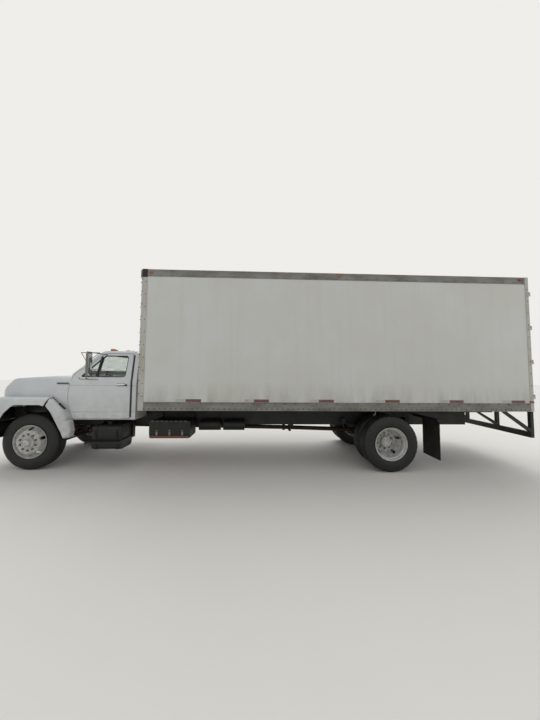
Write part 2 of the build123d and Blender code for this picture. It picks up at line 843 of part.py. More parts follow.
def rear_guard():
    # a bar across the rear, hung from the body's rear frame by four posts with stays to the floor
    back = body_back_x - rear_guard_reach
    front = back + guard_post_width
    top = guard_bottom_z + guard_bar_height
    foot = rail_bottom - seat_gap
    beam_x = floor_beam_places()[1]
    beam_low = deck_top - deck_plate - floor_beam_height - seat_gap
    guard = block((back, front), (-guard_half_width, guard_half_width), (guard_bottom_z, top))
    for side in (1, -1):
        end = sorted((side * (guard_half_width - guard_post_width), side * guard_half_width))
        guard += block((back, front), end, (top, foot))
        guard += block((back, body_back_x + rear_post_depth - guard_foot_inset), end,
                       (foot - guard_foot_plate, foot))
        guard += prism([(front, top), (beam_x + floor_beam_width, beam_low),
                        (beam_x - guard_post_width / 2, beam_low),
                        (front, top + guard_post_width)], "Y", *end)
        inner = sorted((side * (frame_width / 2 - 4), side * (frame_width / 2 - 4 - long_sill_width)))
        guard += block((back, front), inner, (top, rail_bottom + guard_lap))
        guard += block((front, body_back_x - seat_gap), inner,
                       (rail_bottom + seat_gap, rail_bottom + guard_lap))
        guard += prism([(front, top), (front + guard_stay_reach, frame_top - seat_gap),
                        (front + guard_stay_reach - guard_post_width, frame_top - seat_gap),
                        (front, top + guard_post_width)], "Y", *inner)
    return guard


# Cab

def cab_side_face():
    axle = front_axle_x
    return outline([
        (cab_back_x, cab_floor_z, 12), (cab_back_x, roof_edge_z - 20, 150),
        (axle - 1560, cab_roof_z + 10, 400),
        (axle - glass_top, glass_top_z + 14, 90), (axle - glass_base, glass_base_z, 20),
        (axle - cowl_back, cowl_top_z, 10), (axle - cowl_front, cowl_top_z, 10),
        (axle - cowl_front, toe_front_z, 60),
        (axle - toe_back, cab_floor_z, 20),
    ])


def cab_front_face():
    half = cab_half_width
    return outline([
        (-half, cab_floor_z, 20), (-floor_step_y, cab_floor_z), (-floor_step_y, floor_step_z),
        (floor_step_y, floor_step_z), (floor_step_y, cab_floor_z), (half, cab_floor_z, 20),
        (half, belt_z, 260),
        (roof_edge_half_width, roof_edge_z, 90), (0, cab_roof_z, 3000),
        (-roof_edge_half_width, roof_edge_z, 90), (-half, belt_z, 260),
    ])


def cab_form(depth):
    # the cab's outer form, shrunk all round by a depth
    side = cab_side_face()
    front = cab_front_face()
    if depth:
        side = offset(side, -depth)
        front = offset(front, -depth)
    return slab(side, "Y", -2000, 2000) & slab(front, "X", -8000, 8000)


def door_face(back=door_back):
    axle = front_axle_x
    slope = (glass_top_z - glass_base_z) / (glass_top - glass_base)
    top_front = glass_base + (door_top_z - glass_base_z) / slope + pillar_width
    return outline([
        (axle - door_front_low, door_bottom_z),
        (axle - door_front_mid, (door_bottom_z + door_front_high_z) / 2, "via"),
        (axle - door_front_high, door_front_high_z), (axle - top_front, door_top_z, 50),
        (axle - back, door_top_z, 40), (axle - back, door_bottom_z, 30),
    ])


def window_faces():
    # the drop glass behind the vent post and the three-cornered vent in front of it
    axle = front_axle_x
    half = vent_post_width / 2
    main = outline([
        (axle - vent_post_low - half, window_bottom_z, 14),
        (axle - vent_post_high - half, window_top_z - 40, 20),
        (axle - window_front_top - 26, window_top_z, 24), (axle - window_back, window_top_z, 44),
        (axle - window_back + 22, window_bottom_z, 50),
    ])
    vent = outline([
        (axle - vent_post_low + half, window_bottom_z, 10),
        (axle - vent_post_high + half, window_top_z - 60, 8),
        (axle - window_front, window_bottom_z, 16),
    ])
    return [main, vent]


def windshield_face():
    low = glass_base_z + 62
    high = glass_top_z - 52
    return outline([(-840, low, 70), (840, low, 70), (770, high, 80), (-770, high, 80)])


def rear_window_face():
    return outline([(-560, 1700, 60), (560, 1700, 60), (540, 2060, 60), (-540, 2060, 60)])


def cab_pieces():
    # shell with its door and glass openings, the doors cut from the same walls, and all glass
    outside = cab_form(0)
    front_face = cab_front_face()
    inner_half = cab_half_width - cab_wall
    inside_y = slab(offset(front_face, -cab_wall), "X", -8000, 8000)
    inside_y += block((-8000, 8000), (-inner_half, inner_half), (cab_floor_z - 1, belt_z - 100))
    middle_y = cab_half_width * 0.6
    walls = outside - cab_form(cab_wall)
    hole = offset(door_face(door_back + door_rear_seam), panel_gap)
    shell = walls - (slab(hole, "Y", middle_y, 2000) - inside_y)
    shell -= slab(hole, "Y", -2000, -middle_y) - inside_y
    hinge_x = front_axle_x - door_hinge_back
    swept = hypot(door_hinge_back - door_front_mid, cab_wall) + hinge_clearance
    for hinge_y in (cab_half_width, -cab_half_width):
        sweep = rod((hinge_x, hinge_y, door_bottom_z), (hinge_x, hinge_y, door_front_high_z), swept)
        shell -= sweep & inside_y
    screen_span = (front_axle_x - 1400, front_axle_x - glass_base + 60)
    rear_span = (cab_back_x - 50, cab_back_x + 200)
    shell -= slab(windshield_face(), "X", *screen_span)
    shell -= slab(rear_window_face(), "X", *rear_span)
    leaf = (outside & slab(door_face(), "Y", middle_y, 2000)) - inside_y
    side_film = slab(offset(front_face, -glass_depth), "X", -8000, 8000)
    side_film -= slab(offset(front_face, -glass_depth - glass_plate), "X", -8000, 8000)
    panes = []
    for window in window_faces():
        leaf -= slab(window, "Y", middle_y, 2000)
        panes.append(side_film & slab(offset(window, -seat_gap), "Y", middle_y, 2000))
    film = cab_form(glass_depth) - cab_form(glass_depth + glass_plate)
    screen = film & slab(offset(windshield_face(), -seat_gap), "X", *screen_span)
    rear_pane = film & slab(offset(rear_window_face(), -seat_gap), "X", *rear_span)
    return shell, leaf, panes, [screen, rear_pane]


def dashboard():
    axle = front_axle_x
    wall = axle - cowl_back - cab_wall - seat_gap
    top = axle - glass_base - cab_wall - seat_gap - 2
    section = [(wall, 1380), (wall, cowl_top_z), (top, 1690), (top - 44, 1728, 10), (axle - 870, 1730, 40),
               (axle - 1010, 1640, 60), (axle - 1020, 1440, 50), (axle - 900, 1380, 20)]
    return prism(section, "Y", -860, 860) - steering_column(seat_gap)


def bench_seat():
    axle = front_axle_x
    cushion = prism([(axle - 1180, 1150, 40), (axle - 1180, 1290, 60), (axle - 1660, 1260, 30),
                     (axle - 1660, 1120, 20)],
                    "Y", -780, 780)
    back = prism([(axle - 1590, 1250, 30), (axle - 1665, 1250), (axle - 1790, 1800, 20),
                  (axle - 1720, 1840, 40)],
                 "Y", -780, 780)
    base = block((axle - 1640, axle - 1220), (-740, 740), (floor_step_z + cab_wall + seat_gap, 1150))
    return cushion + back + base


def steering_wheel():
    # a rim on two spokes and a hub, turned about the column
    rim = Torus(steering_wheel_radius, 15)
    hub = Pos(0, 0, -26) * Cylinder(46, 44)
    wheel = rim + hub
    for angle in (90, 210, 330):
        spoke = Rot(0, 0, angle) * Pos(steering_wheel_radius / 2, 0, -12) * Box(steering_wheel_radius, 26, 12)
        wheel += spoke
    return column_place() * wheel


def column_place():
    # Z runs up the column towards the driver
    start = Vector(front_axle_x - wheel_hub_back, wheel_hub_y, wheel_hub_z)
    return Location(Plane(origin=start, x_dir=(0, 1, 0), z_dir=column_direction()))


def column_direction():
    tilt = radians(column_tilt)
    return Vector(-cos(tilt), 0, sin(tilt))


def steering_column(extra=0):
    start = Vector(front_axle_x - wheel_hub_back, wheel_hub_y, wheel_hub_z)
    start -= column_direction() * (48 + seat_gap)
    end = start - column_direction() * 330
    return rod(tuple(start), tuple(end), column_radius + extra)


def fender_extensions():
    # the fixed skirts behind the wheel arches, rounded outside and open to the wheel
    axle = front_axle_x
    corners = [
        (axle - hood_side_rear - hood_gap, fender_seam_high_z, 20),
        (axle - fender_seam_low - hood_gap, fender_seam_low_z), (axle - 428, 1043, 120),
        (axle - 612, 709, 400),
        (axle - 668, 590, 10), (axle - 778, 612, 20), (axle - 800, 722, 60), (axle - 760, cab_floor_z, 30),
        (axle - 704, cab_floor_z + 8, 10), (axle - 700, 985, 60), (axle - 640, 1098, 80),
        (axle - 529, 1205, 200),
    ]
    face = outline(corners)
    skirt = slab(face, "Y", cab_half_width, fender_half_width)
    skirt = fillet(skirt.faces().sort_by(Axis.Y)[-1].edges(), skirt_round)
    hollow = slab(offset(face, -skirt_wall), "Y", cab_half_width - 1, fender_half_width - skirt_wall)
    skirt -= fillet(hollow.faces().sort_by(Axis.Y)[-1].edges(), skirt_round - skirt_wall)
    return both(skirt)


def cab_steps():
    # a tread under each door on two arms from the frame
    front = front_axle_x - step_front
    back = front - step_length
    step = block((back, front), (step_outer_y - step_width, step_outer_y), (step_z, step_z + 30))
    for x in (front, back):
        step += block((x - 12, x + 12), (frame_width / 2 + seat_gap, step_outer_y),
                      (step_z - 10, step_z + 30))
        step += block((x - 12, x + 12), (frame_width / 2 + seat_gap, frame_width / 2 + 90),
                      (step_z, frame_bottom + 120))
    return both(step)


# Hood and front fenders

def hood_upper(depth):
    # the engine cover over the fenders, from three views, shrunk by a depth and then open below and behind
    axle = front_axle_x
    low = hood_bottom_z - (200 if depth else 0)
    rear = hood_rear + (60 if depth else 0)
    side_rear = hood_side_rear + (60 if depth else 0)
    shoulder = hood_shoulder_z - (200 if depth else 0)
    half = hood_half_width - depth
    side = outline([
        (axle + nose_reach - depth, low), (axle + nose_reach - depth, nose_top_z - depth / 2, 50),
        (axle + nose_slope_reach - depth, nose_slope_z - depth / 2, 90),
        (axle + hood_front_top_reach, hood_front_top_z - depth, 120), (axle - rear, hood_rear_top_z - depth),
        (axle - rear + hood_rear_slant, shoulder), (axle - side_rear, shoulder), (axle - side_rear, low),
    ])
    plan = outline([
        (axle + nose_reach - depth + 4, 0, "via"), (axle + nose_reach - 46 - depth, 640),
        (axle + nose_reach - 80 - depth, half - 20, 130), (axle + 100, half), (axle - 1000, half),
        (axle - 1000, -half), (axle + 100, -half), (axle + nose_reach - 80 - depth, -half + 20, 130),
        (axle + nose_reach - 46 - depth, -640),
    ])
    front = outline([
        (-half, low), (half, low), (half, 1440, 240), (half - 84, 1696 - depth, 120),
        (0, hood_rear_top_z + 30 - depth, 3600), (-half + 84, 1696 - depth, 120), (-half, 1440, 240),
    ])
    return slab(side, "Y", -1500, 1500) & slab(plan, "Z", 500, 2500) & slab(front, "X", -8000, 8000)


def hood_fenders(depth):
    # the full-width lower body with its rounded crown, shrunk by a depth and then open below and behind
    axle = front_axle_x
    low = hood_bottom_z - (200 if depth else 0)
    rear = hood_side_rear + (60 if depth else 0)
    half = fender_half_width - depth
    crown = fender_top_z - depth
    side = outline([
        (axle + fender_front_reach - depth, low), (axle + fender_front_reach - depth, 1230, 110),
        (axle + fender_front_reach - 110 - depth, crown, 150), (axle - rear, crown), (axle - rear, low),
    ])
    plan = outline([
        (axle + fender_front_reach - depth, 0), (axle + fender_front_reach - depth, half, 240),
        (axle - 1000, half), (axle - 1000, -half), (axle + fender_front_reach - depth, -half, 240),
    ])
    front = outline([(-half, low), (half, low), (half, crown, 100), (-half, crown, 100)])
    return slab(side, "Y", -1500, 1500) & slab(plan, "Z", 500, 2500) & slab(front, "X", -8000, 8000)


def grille_face():
    return outline([(-grille_half_width, grille_low, 30), (grille_half_width, grille_low, 30),
                    (grille_half_width - 24, grille_high, 30), (-grille_half_width + 24, grille_high, 30)])


def lamp_face(side):
    # one headlamp with its turn lamp beside it
    near = grille_half_width + 60
    far = near + lamp_width
    return outline([(side * near, lamp_low, 20), (side * far, lamp_low, 20), (side * far, lamp_high, 20),
                    (side * near, lamp_high, 20)])


def hood_shell():
    axle = front_axle_x
    shell = (hood_upper(0) + hood_fenders(0)) - (hood_upper(hood_wall) + hood_fenders(hood_wall))
    arch = outline([
        (axle + arch_front_reach + 20, hood_bottom_z - 60), (axle + 353, 1041, 120),
        (axle + arch_shoulder_reach, arch_top_z, 160),
        (axle - arch_rear_reach + 30, arch_top_z, 100), (axle - fender_seam_low, fender_seam_low_z),
        (axle - hood_side_rear, fender_seam_high_z), (axle - hood_side_rear - 60, fender_seam_high_z),
        (axle - hood_side_rear - 60, hood_bottom_z - 60),
    ])
    shell -= slab(arch, "Y", 700, 1500) + slab(arch, "Y", -1500, -700)
    nose = axle + 300
    shell -= slab(grille_face(), "X", nose, axle + 900)
    for side in (1, -1):
        shell -= slab(lamp_face(side), "X", nose, axle + 900)
        house = (axle - hood_side_rear + 6, axle + fender_front_reach - 150)
        roof_z = fender_top_z - hood_wall
        shell += block(house, sorted((side * apron_y, side * (apron_y + 8))), (hood_bottom_z + 40, roof_z))
        shell += block(house, sorted((side * apron_y, side * (hood_half_width - 4))), (roof_z - 8, roof_z))
        shell += hood_hinge(side)
    return shell


def hood_hinge(side):
    # an arm from the nose's lower edge to the pivot pin
    pivot_x = front_face_x - hood_pivot_station
    span = sorted((side * (hood_pivot_y - 24), side * (hood_pivot_y + 24)))
    arm = prism([(pivot_x + 26, hood_pivot_z - 26, 24), (pivot_x + 26, hood_pivot_z + 24, 24),
                 (pivot_x - 60, hood_bottom_z + 60), (pivot_x - 110, hood_bottom_z + 60),
                 (pivot_x - 110, hood_bottom_z + 10), (pivot_x - 26, hood_pivot_z - 26, 24)], "Y", *span)
    return arm - rod((pivot_x, span[0] - 1, hood_pivot_z), (pivot_x, span[1] + 1, hood_pivot_z),
                     hood_pin_radius + seat_gap)


def grille():
    # a frame in the nose opening with level bars and upright ribs
    axle = front_axle_x
    low = axle + nose_reach - 60
    face = grille_face()
    frame = slab(offset(face, -seat_gap), "X", low, axle + nose_reach - 6)
    frame -= slab(offset(face, -28), "X", low - 1, axle + nose_reach)
    inner = slab(offset(face, -24), "X", low, axle + nose_reach - 14)
    step = (grille_high - grille_low) / (grille_bar_count + 1)
    bars = None
    for bar in range(grille_bar_count):
        z = grille_low + step * (bar + 1)
        piece = block((low + 6, axle + nose_reach - 14), (-grille_half_width, grille_half_width),
                      (z - 8, z + 8))
        bars = piece if bars is None else bars + piece
    for y in (-grille_half_width / 2, 0, grille_half_width / 2):
        bars += block((low + 10, low + 24), (y - 8, y + 8), (grille_low + 10, grille_high - 10))
    form = hood_upper(2)
    return (frame + (bars & inner)) & form


def headlamps():
    # a lens block in each lamp opening, its face following the nose
    lamps = []
    for side in (1, -1):
        body = slab(offset(lamp_face(side), -seat_gap), "X", front_axle_x + 460, front_axle_x + 900)
        lamps.append(body & (hood_upper(5) + hood_fenders(5)))
    return lamps


# Van body

def body_floor():
    # the deck boards between the rails
    y = side_face_y - side_plate - seat_gap
    return block((body_back_x + rear_post_depth, body_front_x - front_wall_plate), (-y, y),
                 (deck_top - deck_plate, deck_top))


def floor_beam_places():
    # the rear face of every cross beam, from the rear
    front = body_front_x - front_wall_plate - 20
    back = body_back_x + rear_post_depth + 20
    step = (front - back - floor_beam_width) / (floor_beam_count - 1)
    return [back + number * step for number in range(floor_beam_count)]


def floor_beams():
    # two long sills on the frame and the cross beams that carry the deck, spread evenly
    low = frame_top
    beam_low = deck_top - deck_plate - floor_beam_height
    front = body_front_x - front_wall_plate - 20
    back = body_back_x + rear_post_depth + 20
    y = side_face_y - side_plate - rail_lip - seat_gap
    beams = []
    for side in (1, -1):
        sill = sorted((side * (frame_width / 2 - 4), side * (frame_width / 2 - 4 - long_sill_width)))
        beams.append(block((back, front), sill, (low, beam_low - seat_gap)))
    for x in floor_beam_places():
        high = deck_top - deck_plate
        skin = x + floor_beam_plate
        tip = x + floor_beam_width
        section = [(x, beam_low), (tip, beam_low), (tip, beam_low + floor_beam_plate),
                   (skin, beam_low + floor_beam_plate), (skin, high - floor_beam_plate),
                   (tip, high - floor_beam_plate), (tip, high), (x, high)]
        beams.append(prism(section, "Y", -y, y))
    return beams


def side_panels():
    low = rail_bottom + 20
    high = body_top - 30
    front = body_front_x - corner_radius
    back = body_back_x + rear_post_depth
    panel = block((back, front), (side_face_y - side_plate, side_face_y), (low, high))
    return both(panel)


def bottom_rails():
    # extruded rails outside the panels' lower edges, with a rib along the middle
    front = body_front_x - corner_width
    back = body_back_x + rear_post_depth
    y = side_face_y
    top = rail_bottom + rail_height
    inner = y - side_plate - rail_lip
    section = [(inner, rail_bottom), (body_half, rail_bottom), (body_half, rail_bottom + 12),
               (body_half - 3, rail_bottom + 16), (body_half - 3, top - 16), (body_half, top - 12),
               (body_half, top, 3), (y, top), (y, rail_bottom + 20), (inner, rail_bottom + 20)]
    return both(prism(section, "X", back, front))


def top_rails():
    # rails along the upper edges with a lip over the roof, and one across the front
    front = body_front_x - corner_width
    back = body_back_x + rear_post_depth
    y = side_face_y
    low = body_top - top_rail_height
    section = [(y, low), (body_half, low), (body_half, body_top, 12), (y - 60, body_top),
               (y - 60, body_top - top_rail_plate), (y - 2, body_top - top_rail_plate),
               (y - 2, body_top - 30),
               (y, body_top - 30)]
    return both(prism(section, "X", back, front))


def corner_posts():
    # rounded posts at the front corners from the rails' bottom to the roof
    front = body_front_x
    wall_x = front - front_wall_plate + seat_gap
    panel_x = front - corner_radius + seat_gap
    outer = [(front - corner_width, body_half), (front, body_half, corner_radius),
             (front, body_half - corner_width),
             (wall_x, body_half - corner_width), (wall_x, side_face_y - side_plate),
             (panel_x, side_face_y - side_plate), (panel_x, side_face_y + seat_gap),
             (front - corner_width, side_face_y + seat_gap)]
    return both(prism(outer, "Z", rail_bottom, body_top))


def front_wall():
    y = body_half - corner_width
    wall = block((body_front_x - front_wall_plate, body_front_x), (-y, y),
                 (rail_bottom + rail_height, body_top))
    rail = block((body_front_x - front_wall_plate, body_front_x + 4), (-y, y),
                 (rail_bottom, rail_bottom + rail_height))
    cap = block((body_front_x - front_wall_plate, body_front_x + 4), (-y, y),
                (body_top - top_rail_height, body_top))
    return wall + rail + cap


def roof_panel():
    # a thin skin on bows spread evenly along the body
    y = side_face_y - side_plate - seat_gap
    front = body_front_x - front_wall_plate - seat_gap
    back = body_back_x + rear_post_depth
    top = body_top - top_rail_plate
    bow_top = top - roof_plate - seat_gap
    roof = [block((back, front), (-y, y), (top - roof_plate, top))]
    step = (front - back - roof_bow_width) / (roof_bow_count + 1)
    for number in range(1, roof_bow_count + 1):
        x = back + number * step
        roof.append(block((x, x + roof_bow_width), (-y, y), (bow_top - roof_bow_depth, bow_top)))
    return roof


def rear_frame():
    # steel posts, header and sill round the rear door opening
    back = body_back_x
    front = back + rear_post_depth
    frame = block((back, front), (-body_half, body_half), (rail_bottom, body_top))
    opening_half = body_half - rear_post_width
    frame -= block((back - 1, front + 1), (-opening_half, opening_half),
                   (deck_top, body_top - rear_header_height))
    for side in (1, -1):
        y = side * (body_half + rear_hinge_out)
        for z in hinge_heights():
            frame += block((back - 10, back + 40),
                           sorted((side * (body_half - 2),
                                   side * (body_half + rear_hinge_out + 4))), (z - 60, z - 20))
            frame += rod((back - rear_hinge_back, y, z - 60), (back - rear_hinge_back, y, z - 22),
                         rear_hinge_radius)
            frame += block((back - rear_hinge_back, back + 1), sorted((y - side * 8, y + side * 4)),
                           (z - 60, z - 22))
            frame += rod((back - rear_hinge_back, y, z - 60), (back - rear_hinge_back, y, z + 20), 4)
    return frame


def hinge_heights():
    low = deck_top + 160
    high = body_top - rear_header_height - 160
    step = (high - low) / (rear_hinge_count - 1)
    return [low + step * number for number in range(rear_hinge_count)]


def rear_door():
    # the left leaf: a flat panel with its hinge straps
    back = body_back_x
    outer = body_half - rear_post_width - rear_door_gap
    low = deck_top + rear_door_gap
    high = body_top - rear_header_height - rear_door_gap
    leaf = block((back, back + rear_door_plate), (rear_door_gap / 2, outer), (low, high))
    pin_x = back - rear_hinge_back
    pin_y = body_half + rear_hinge_out
    for z in hinge_heights():
        strap = block((back - 7, back), (outer - 260, outer - 2), (z - 20 + 2, z + 20))
        strap += block((back - 16, back - 8), (outer - 60, pin_y), (z - 20 + 2, z + 20))
        strap += block((back - 16, back), (outer - 60, outer - 2), (z - 20 + 2, z + 20))
        strap += rod((pin_x, pin_y, z - 18), (pin_x, pin_y, z + 20), rear_hinge_radius)
        strap -= rod((pin_x, pin_y, z - 20), (pin_x, pin_y, z + 22), 4 + seat_gap)
        leaf += strap
    return leaf


def lock_rods():
    # two turning rods on the left leaf with cams, guides and a handle
    back = body_back_x
    x = back - lock_rod_stand
    low = deck_top + 40
    high = body_top - rear_header_height - 40
    outer = body_half - rear_post_width - rear_door_gap
    pieces = []
    for y in (outer * 0.30, outer * 0.74):
        bar = rod((x, y, low), (x, y, high), lock_rod_radius)
        for z in (low + 20, (low + high) / 2 - 500, (low + high) / 2 + 500, high - 20):
            bar += block((x, back - seat_gap), (y - 34, y + 34), (z - 22, z + 22))
            bar += rod((x, y, z - 22), (x, y, z + 22), lock_rod_radius + 6)
        for z in (low, high):
            bar += block((x - 8, x + 8), (y - 26, y + 26), (z - 24, z + 24))
        handle_z = deck_top + 760
        bar += block((x - 22, x - 8), (y - 300, y + 12), (handle_z - 12, handle_z + 12))
        bar += rod((x, y, handle_z - 30), (x, y, handle_z + 30), lock_rod_radius + 8)
        pieces.append(bar)
    return pieces


def lamps_row():
    # marker lamps on the body's top and bottom corners and on the cab's roof
    lamps = []
    for side in (1, -1):
        y = side * body_half
        side_span = sorted((y, y + side * 14))
        for x, z in ((body_front_x - 190, body_top - 60), ((body_front_x + body_back_x) / 2, body_top - 60),
                     (body_back_x + 150, body_top - 60), (body_back_x + 40, rail_bottom + 176)):
            lamps.append(block((x - 32, x + 32), side_span, (z - 16, z + 16)))
    roof = cab_form(0)
    for y in (-740, -170, 0, 170, 740):
        z = cab_lamp_z - abs(y) * 0.045
        x = front_axle_x - glass_top - 75
        lamp = prism([(x + 70, z - 80), (x + 26, z + 36, 10), (x - 60, z + 36, 20), (x - 86, z - 80)], "Y",
                     y - 40, y + 40)
        lamps.append(lamp - roof)
    return lamps


def tail_lamps():
    # three lamps in each end of the rear sill
    lamps = []
    for side in (1, -1):
        for number in range(3):
            y = side * (body_half - 190 - number * 150)
            lamps.append(rod((body_back_x - seat_gap, y, rail_bottom + 72),
                             (body_back_x - 22, y, rail_bottom + 72), 52))
    return lamps


# Mirrors

def mirror_set():
    # a tall mirror on a tube frame, standing off the left door
    axle = front_axle_x
    head_x = axle - mirror_behind_axle
    head_y = cab_half_width + mirror_reach
    low = mirror_low_z
    high = low + mirror_height
    tilt = Rot(0, 0, mirror_turn)
    head = Pos(head_x, head_y, (low + high) / 2) * tilt * Box(mirror_depth, mirror_width, mirror_height)
    head = fillet(head.edges().filter_by(Axis.Z), 12)
    tube_x = head_x + mirror_depth / 2 + 14
    frame = rod((tube_x, head_y, low - 46), (tube_x, head_y, high + 20), mirror_arm_radius)
    frame += Pos(tube_x, head_y, low - 46) * Sphere(mirror_arm_radius)
    frame += Pos(tube_x, head_y, high + 20) * Sphere(mirror_arm_radius)
    frame += rod((tube_x, head_y, high + 20), (axle - mirror_foot_back, mirror_foot_y, mirror_foot_z),
                 mirror_arm_radius)
    frame += rod((tube_x, head_y, low - 46), (head_x + 20, cab_half_width - 20, low - 60), mirror_arm_radius)
    frame += rod((tube_x, head_y, low - 46), (head_x + 180, cab_half_width - 20, low - 60), mirror_arm_radius)
    for z in (low + 60, high - 60):
        frame += block((head_x, tube_x), (head_y - 12, head_y + 12), (z - 12, z + 12))
    return head + (frame - cab_form(0))


def door_handle():
    axle = front_axle_x
    x = axle - 1620
    side = cab_half_width
    plate = prism([(x - 60, 1536, 8), (x + 70, 1536, 8), (x + 70, 1572, 8), (x - 60, 1572, 8)], "Y",
                  side - 2, side + 6)
    grip = prism([(x - 50, 1544, 6), (x + 62, 1544, 6), (x + 62, 1562, 6), (x - 50, 1562, 6)], "Y", side + 4,
                 side + 30)
    return plate + grip


# Write every piece

os.makedirs("parts", exist_ok=True)
cab_shell, door_leaf, door_glass, cab_glass = cab_pieces()
single_pieces = {
    "frame_rails": frame_rails(),
    "cross_members": cross_members(),
    "front_bumper": front_bumper(),
    "leaf_springs": leaf_springs(),
    "spring_hangers": spring_hangers(),
    "front_axle": front_axle(),
    "rear_axle": rear_axle(),
    "drive_shaft": drive_shaft(),
    "engine_block": engine_block(),
    "radiator": radiator(),
    "fuel_tank": fuel_tank(),
    "tool_box": tool_box(),
    "air_tanks": air_tanks(),
    "exhaust_pipe": exhaust(),
    "mud_flaps": mud_flaps(),
    "rear_guard": rear_guard(),
    "cab_steps": cab_steps(),
    "cab_shell": cab_shell,
    "cab_glass": cab_glass,
    "dashboard": dashboard(),
    "steering_column": steering_column(),
    "bench_seat": bench_seat(),
    "fender_extensions": fender_extensions(),
    "body_floor": body_floor(),
    "floor_beams": floor_beams(),
    "side_panels": side_panels(),
    "front_wall": front_wall(),
    "roof_panel": roof_panel(),
    "bottom_rails": bottom_rails(),
    "top_rails": top_rails(),
    "corner_posts": corner_posts(),
    "rear_frame": rear_frame(),
    "marker_lamps": lamps_row(),
    "tail_lamps": tail_lamps(),
    "hood_shell": hood_shell(),
    "grille": grille(),
    "headlamps": headlamps(),
    "tie_rod": tie_rod(),
    "steering_wheel": steering_wheel(),
}
for name, shapes in single_pieces.items():
    save(name, shapes)

left_pieces = {
    "door": door_leaf + door_handle(),
    "door_glass": door_glass,
    "door_mirror": mirror_set(),
    "rear_door": rear_door(),
    "lock_rods": lock_rods(),
    "front_tyre": tyre(front_axle_x, front_tyre_y),
    "front_wheel": front_wheel(),
    "rear_tyres": [tyre(rear_axle_x, rear_outer_y), tyre(rear_axle_x, rear_inner_y)],
}
wheel_pair = disc_wheel(rear_axle_x, rear_outer_y, rear_pair_spacing / 2, -1)
wheel_pair += disc_wheel(rear_axle_x, rear_inner_y, rear_pair_spacing / 2, 1)
left_pieces["rear_wheels"] = wheel_pair + rear_hub(rear_axle_x, 1)
left_pieces["knuckle"] = knuckle(1)
for name, shapes in left_pieces.items():
    shapes = shapes if isinstance(shapes, list) else [shapes]
    save(name + "_left", shapes)
    save(name + "_right", [mirrored(shape) for shape in shapes])
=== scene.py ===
import math
import random

import bmesh
import bpy
from mathutils import Matrix, Vector
from mathutils.bvhtree import BVHTree


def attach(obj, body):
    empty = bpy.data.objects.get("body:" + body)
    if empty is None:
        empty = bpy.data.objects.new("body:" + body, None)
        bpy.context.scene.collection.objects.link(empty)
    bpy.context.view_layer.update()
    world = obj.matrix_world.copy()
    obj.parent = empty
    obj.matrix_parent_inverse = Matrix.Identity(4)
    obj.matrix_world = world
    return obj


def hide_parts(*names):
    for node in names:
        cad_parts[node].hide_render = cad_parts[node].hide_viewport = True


# Box truck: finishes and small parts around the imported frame
# Metres, X forward, Y to the truck's left, Z up, ground at zero

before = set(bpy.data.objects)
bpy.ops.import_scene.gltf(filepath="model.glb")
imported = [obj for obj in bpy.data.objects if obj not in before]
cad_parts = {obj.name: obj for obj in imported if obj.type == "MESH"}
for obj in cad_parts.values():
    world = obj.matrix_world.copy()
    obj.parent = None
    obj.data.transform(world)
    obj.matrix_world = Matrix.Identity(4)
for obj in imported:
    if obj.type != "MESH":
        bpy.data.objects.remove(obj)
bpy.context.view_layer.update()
millimetre = 0.001
random.seed(24)
print("frame loaded,", len(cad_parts), "nodes")


# Colours and shader nodes

def linearColour(hexText):
    # sRGB hex to the linear values that a shader takes
    channels = [int(hexText[start:start + 2], 16) / 255 for start in (1, 3, 5)]
    linear = [c / 12.92 if c <= 0.04045 else ((c + 0.055) / 1.055) ** 2.4 for c in channels]
    return (*linear, 1.0)


def addNode(tree, kind, settings, output=0):
    # a setting is an input fed by a value or by another node's output, or else an attribute of the node
    node = tree.nodes.new(kind)
    for key, value in settings.items():
        if isinstance(key, str) and key not in node.inputs:
            setattr(node, key, value)
        elif isinstance(value, bpy.types.NodeSocket):
            tree.links.new(value, node.inputs[key])
        else:
            node.inputs[key].default_value = value
    return node.outputs[output] if len(node.outputs) else None


def newMaterial(name, settings):
    # a principled shader whose even values sit on its own sockets, and the piece's own coordinates
    material = bpy.data.materials.new(name)
    material.use_nodes = True
    tree = material.node_tree
    tree.nodes.clear()
    surface = addNode(tree, "ShaderNodeBsdfPrincipled", settings)
    addNode(tree, "ShaderNodeOutputMaterial", {"Surface": surface})
    place = addNode(tree, "ShaderNodeTexCoord", {}, "Object")
    return material, tree, surface.node, place


def feed(tree, shader, links):
    for name, output in links.items():
        tree.links.new(output, shader.inputs[name])


def patches(tree, place, sizeMm, low, high, detail=4.0, stretch=(1, 1, 1), within=None):
    # cloudy patches about sizeMm across, 0 outside and 1 inside; a stretch under 1 draws them out that way
    moved = addNode(tree, "ShaderNodeMapping", {"Vector": place, "Scale": stretch})
    cloud = addNode(tree, "ShaderNodeTexNoise", {
        "Vector": moved, "Scale": 1000 / sizeMm, "Detail": detail, "Roughness": 0.6})
    share = addNode(tree, "ShaderNodeMapRange", {"Value": cloud, "From Min": low, "From Max": high})
    if within is not None:
        share = addNode(tree, "ShaderNodeMath", {"operation": "MULTIPLY", 0: share, 1: within})
    return share


def between(tree, place, axis, start, end):
    # rises from 0 to 1 between two places along an axis, in metres
    along = addNode(tree, "ShaderNodeSeparateXYZ", {"Vector": place}, axis)
    return addNode(tree, "ShaderNodeMapRange", {"Value": along, "From Min": start, "From Max": end})


def coats(tree, base, layers):
    # colours laid one over another, each by its share of the surface
    colour = linearColour(base)
    for share, hexText in layers:
        colour = addNode(tree, "ShaderNodeMix", {
            "data_type": "RGBA", 0: share, 6: colour, 7: linearColour(hexText)}, 2)
    return colour


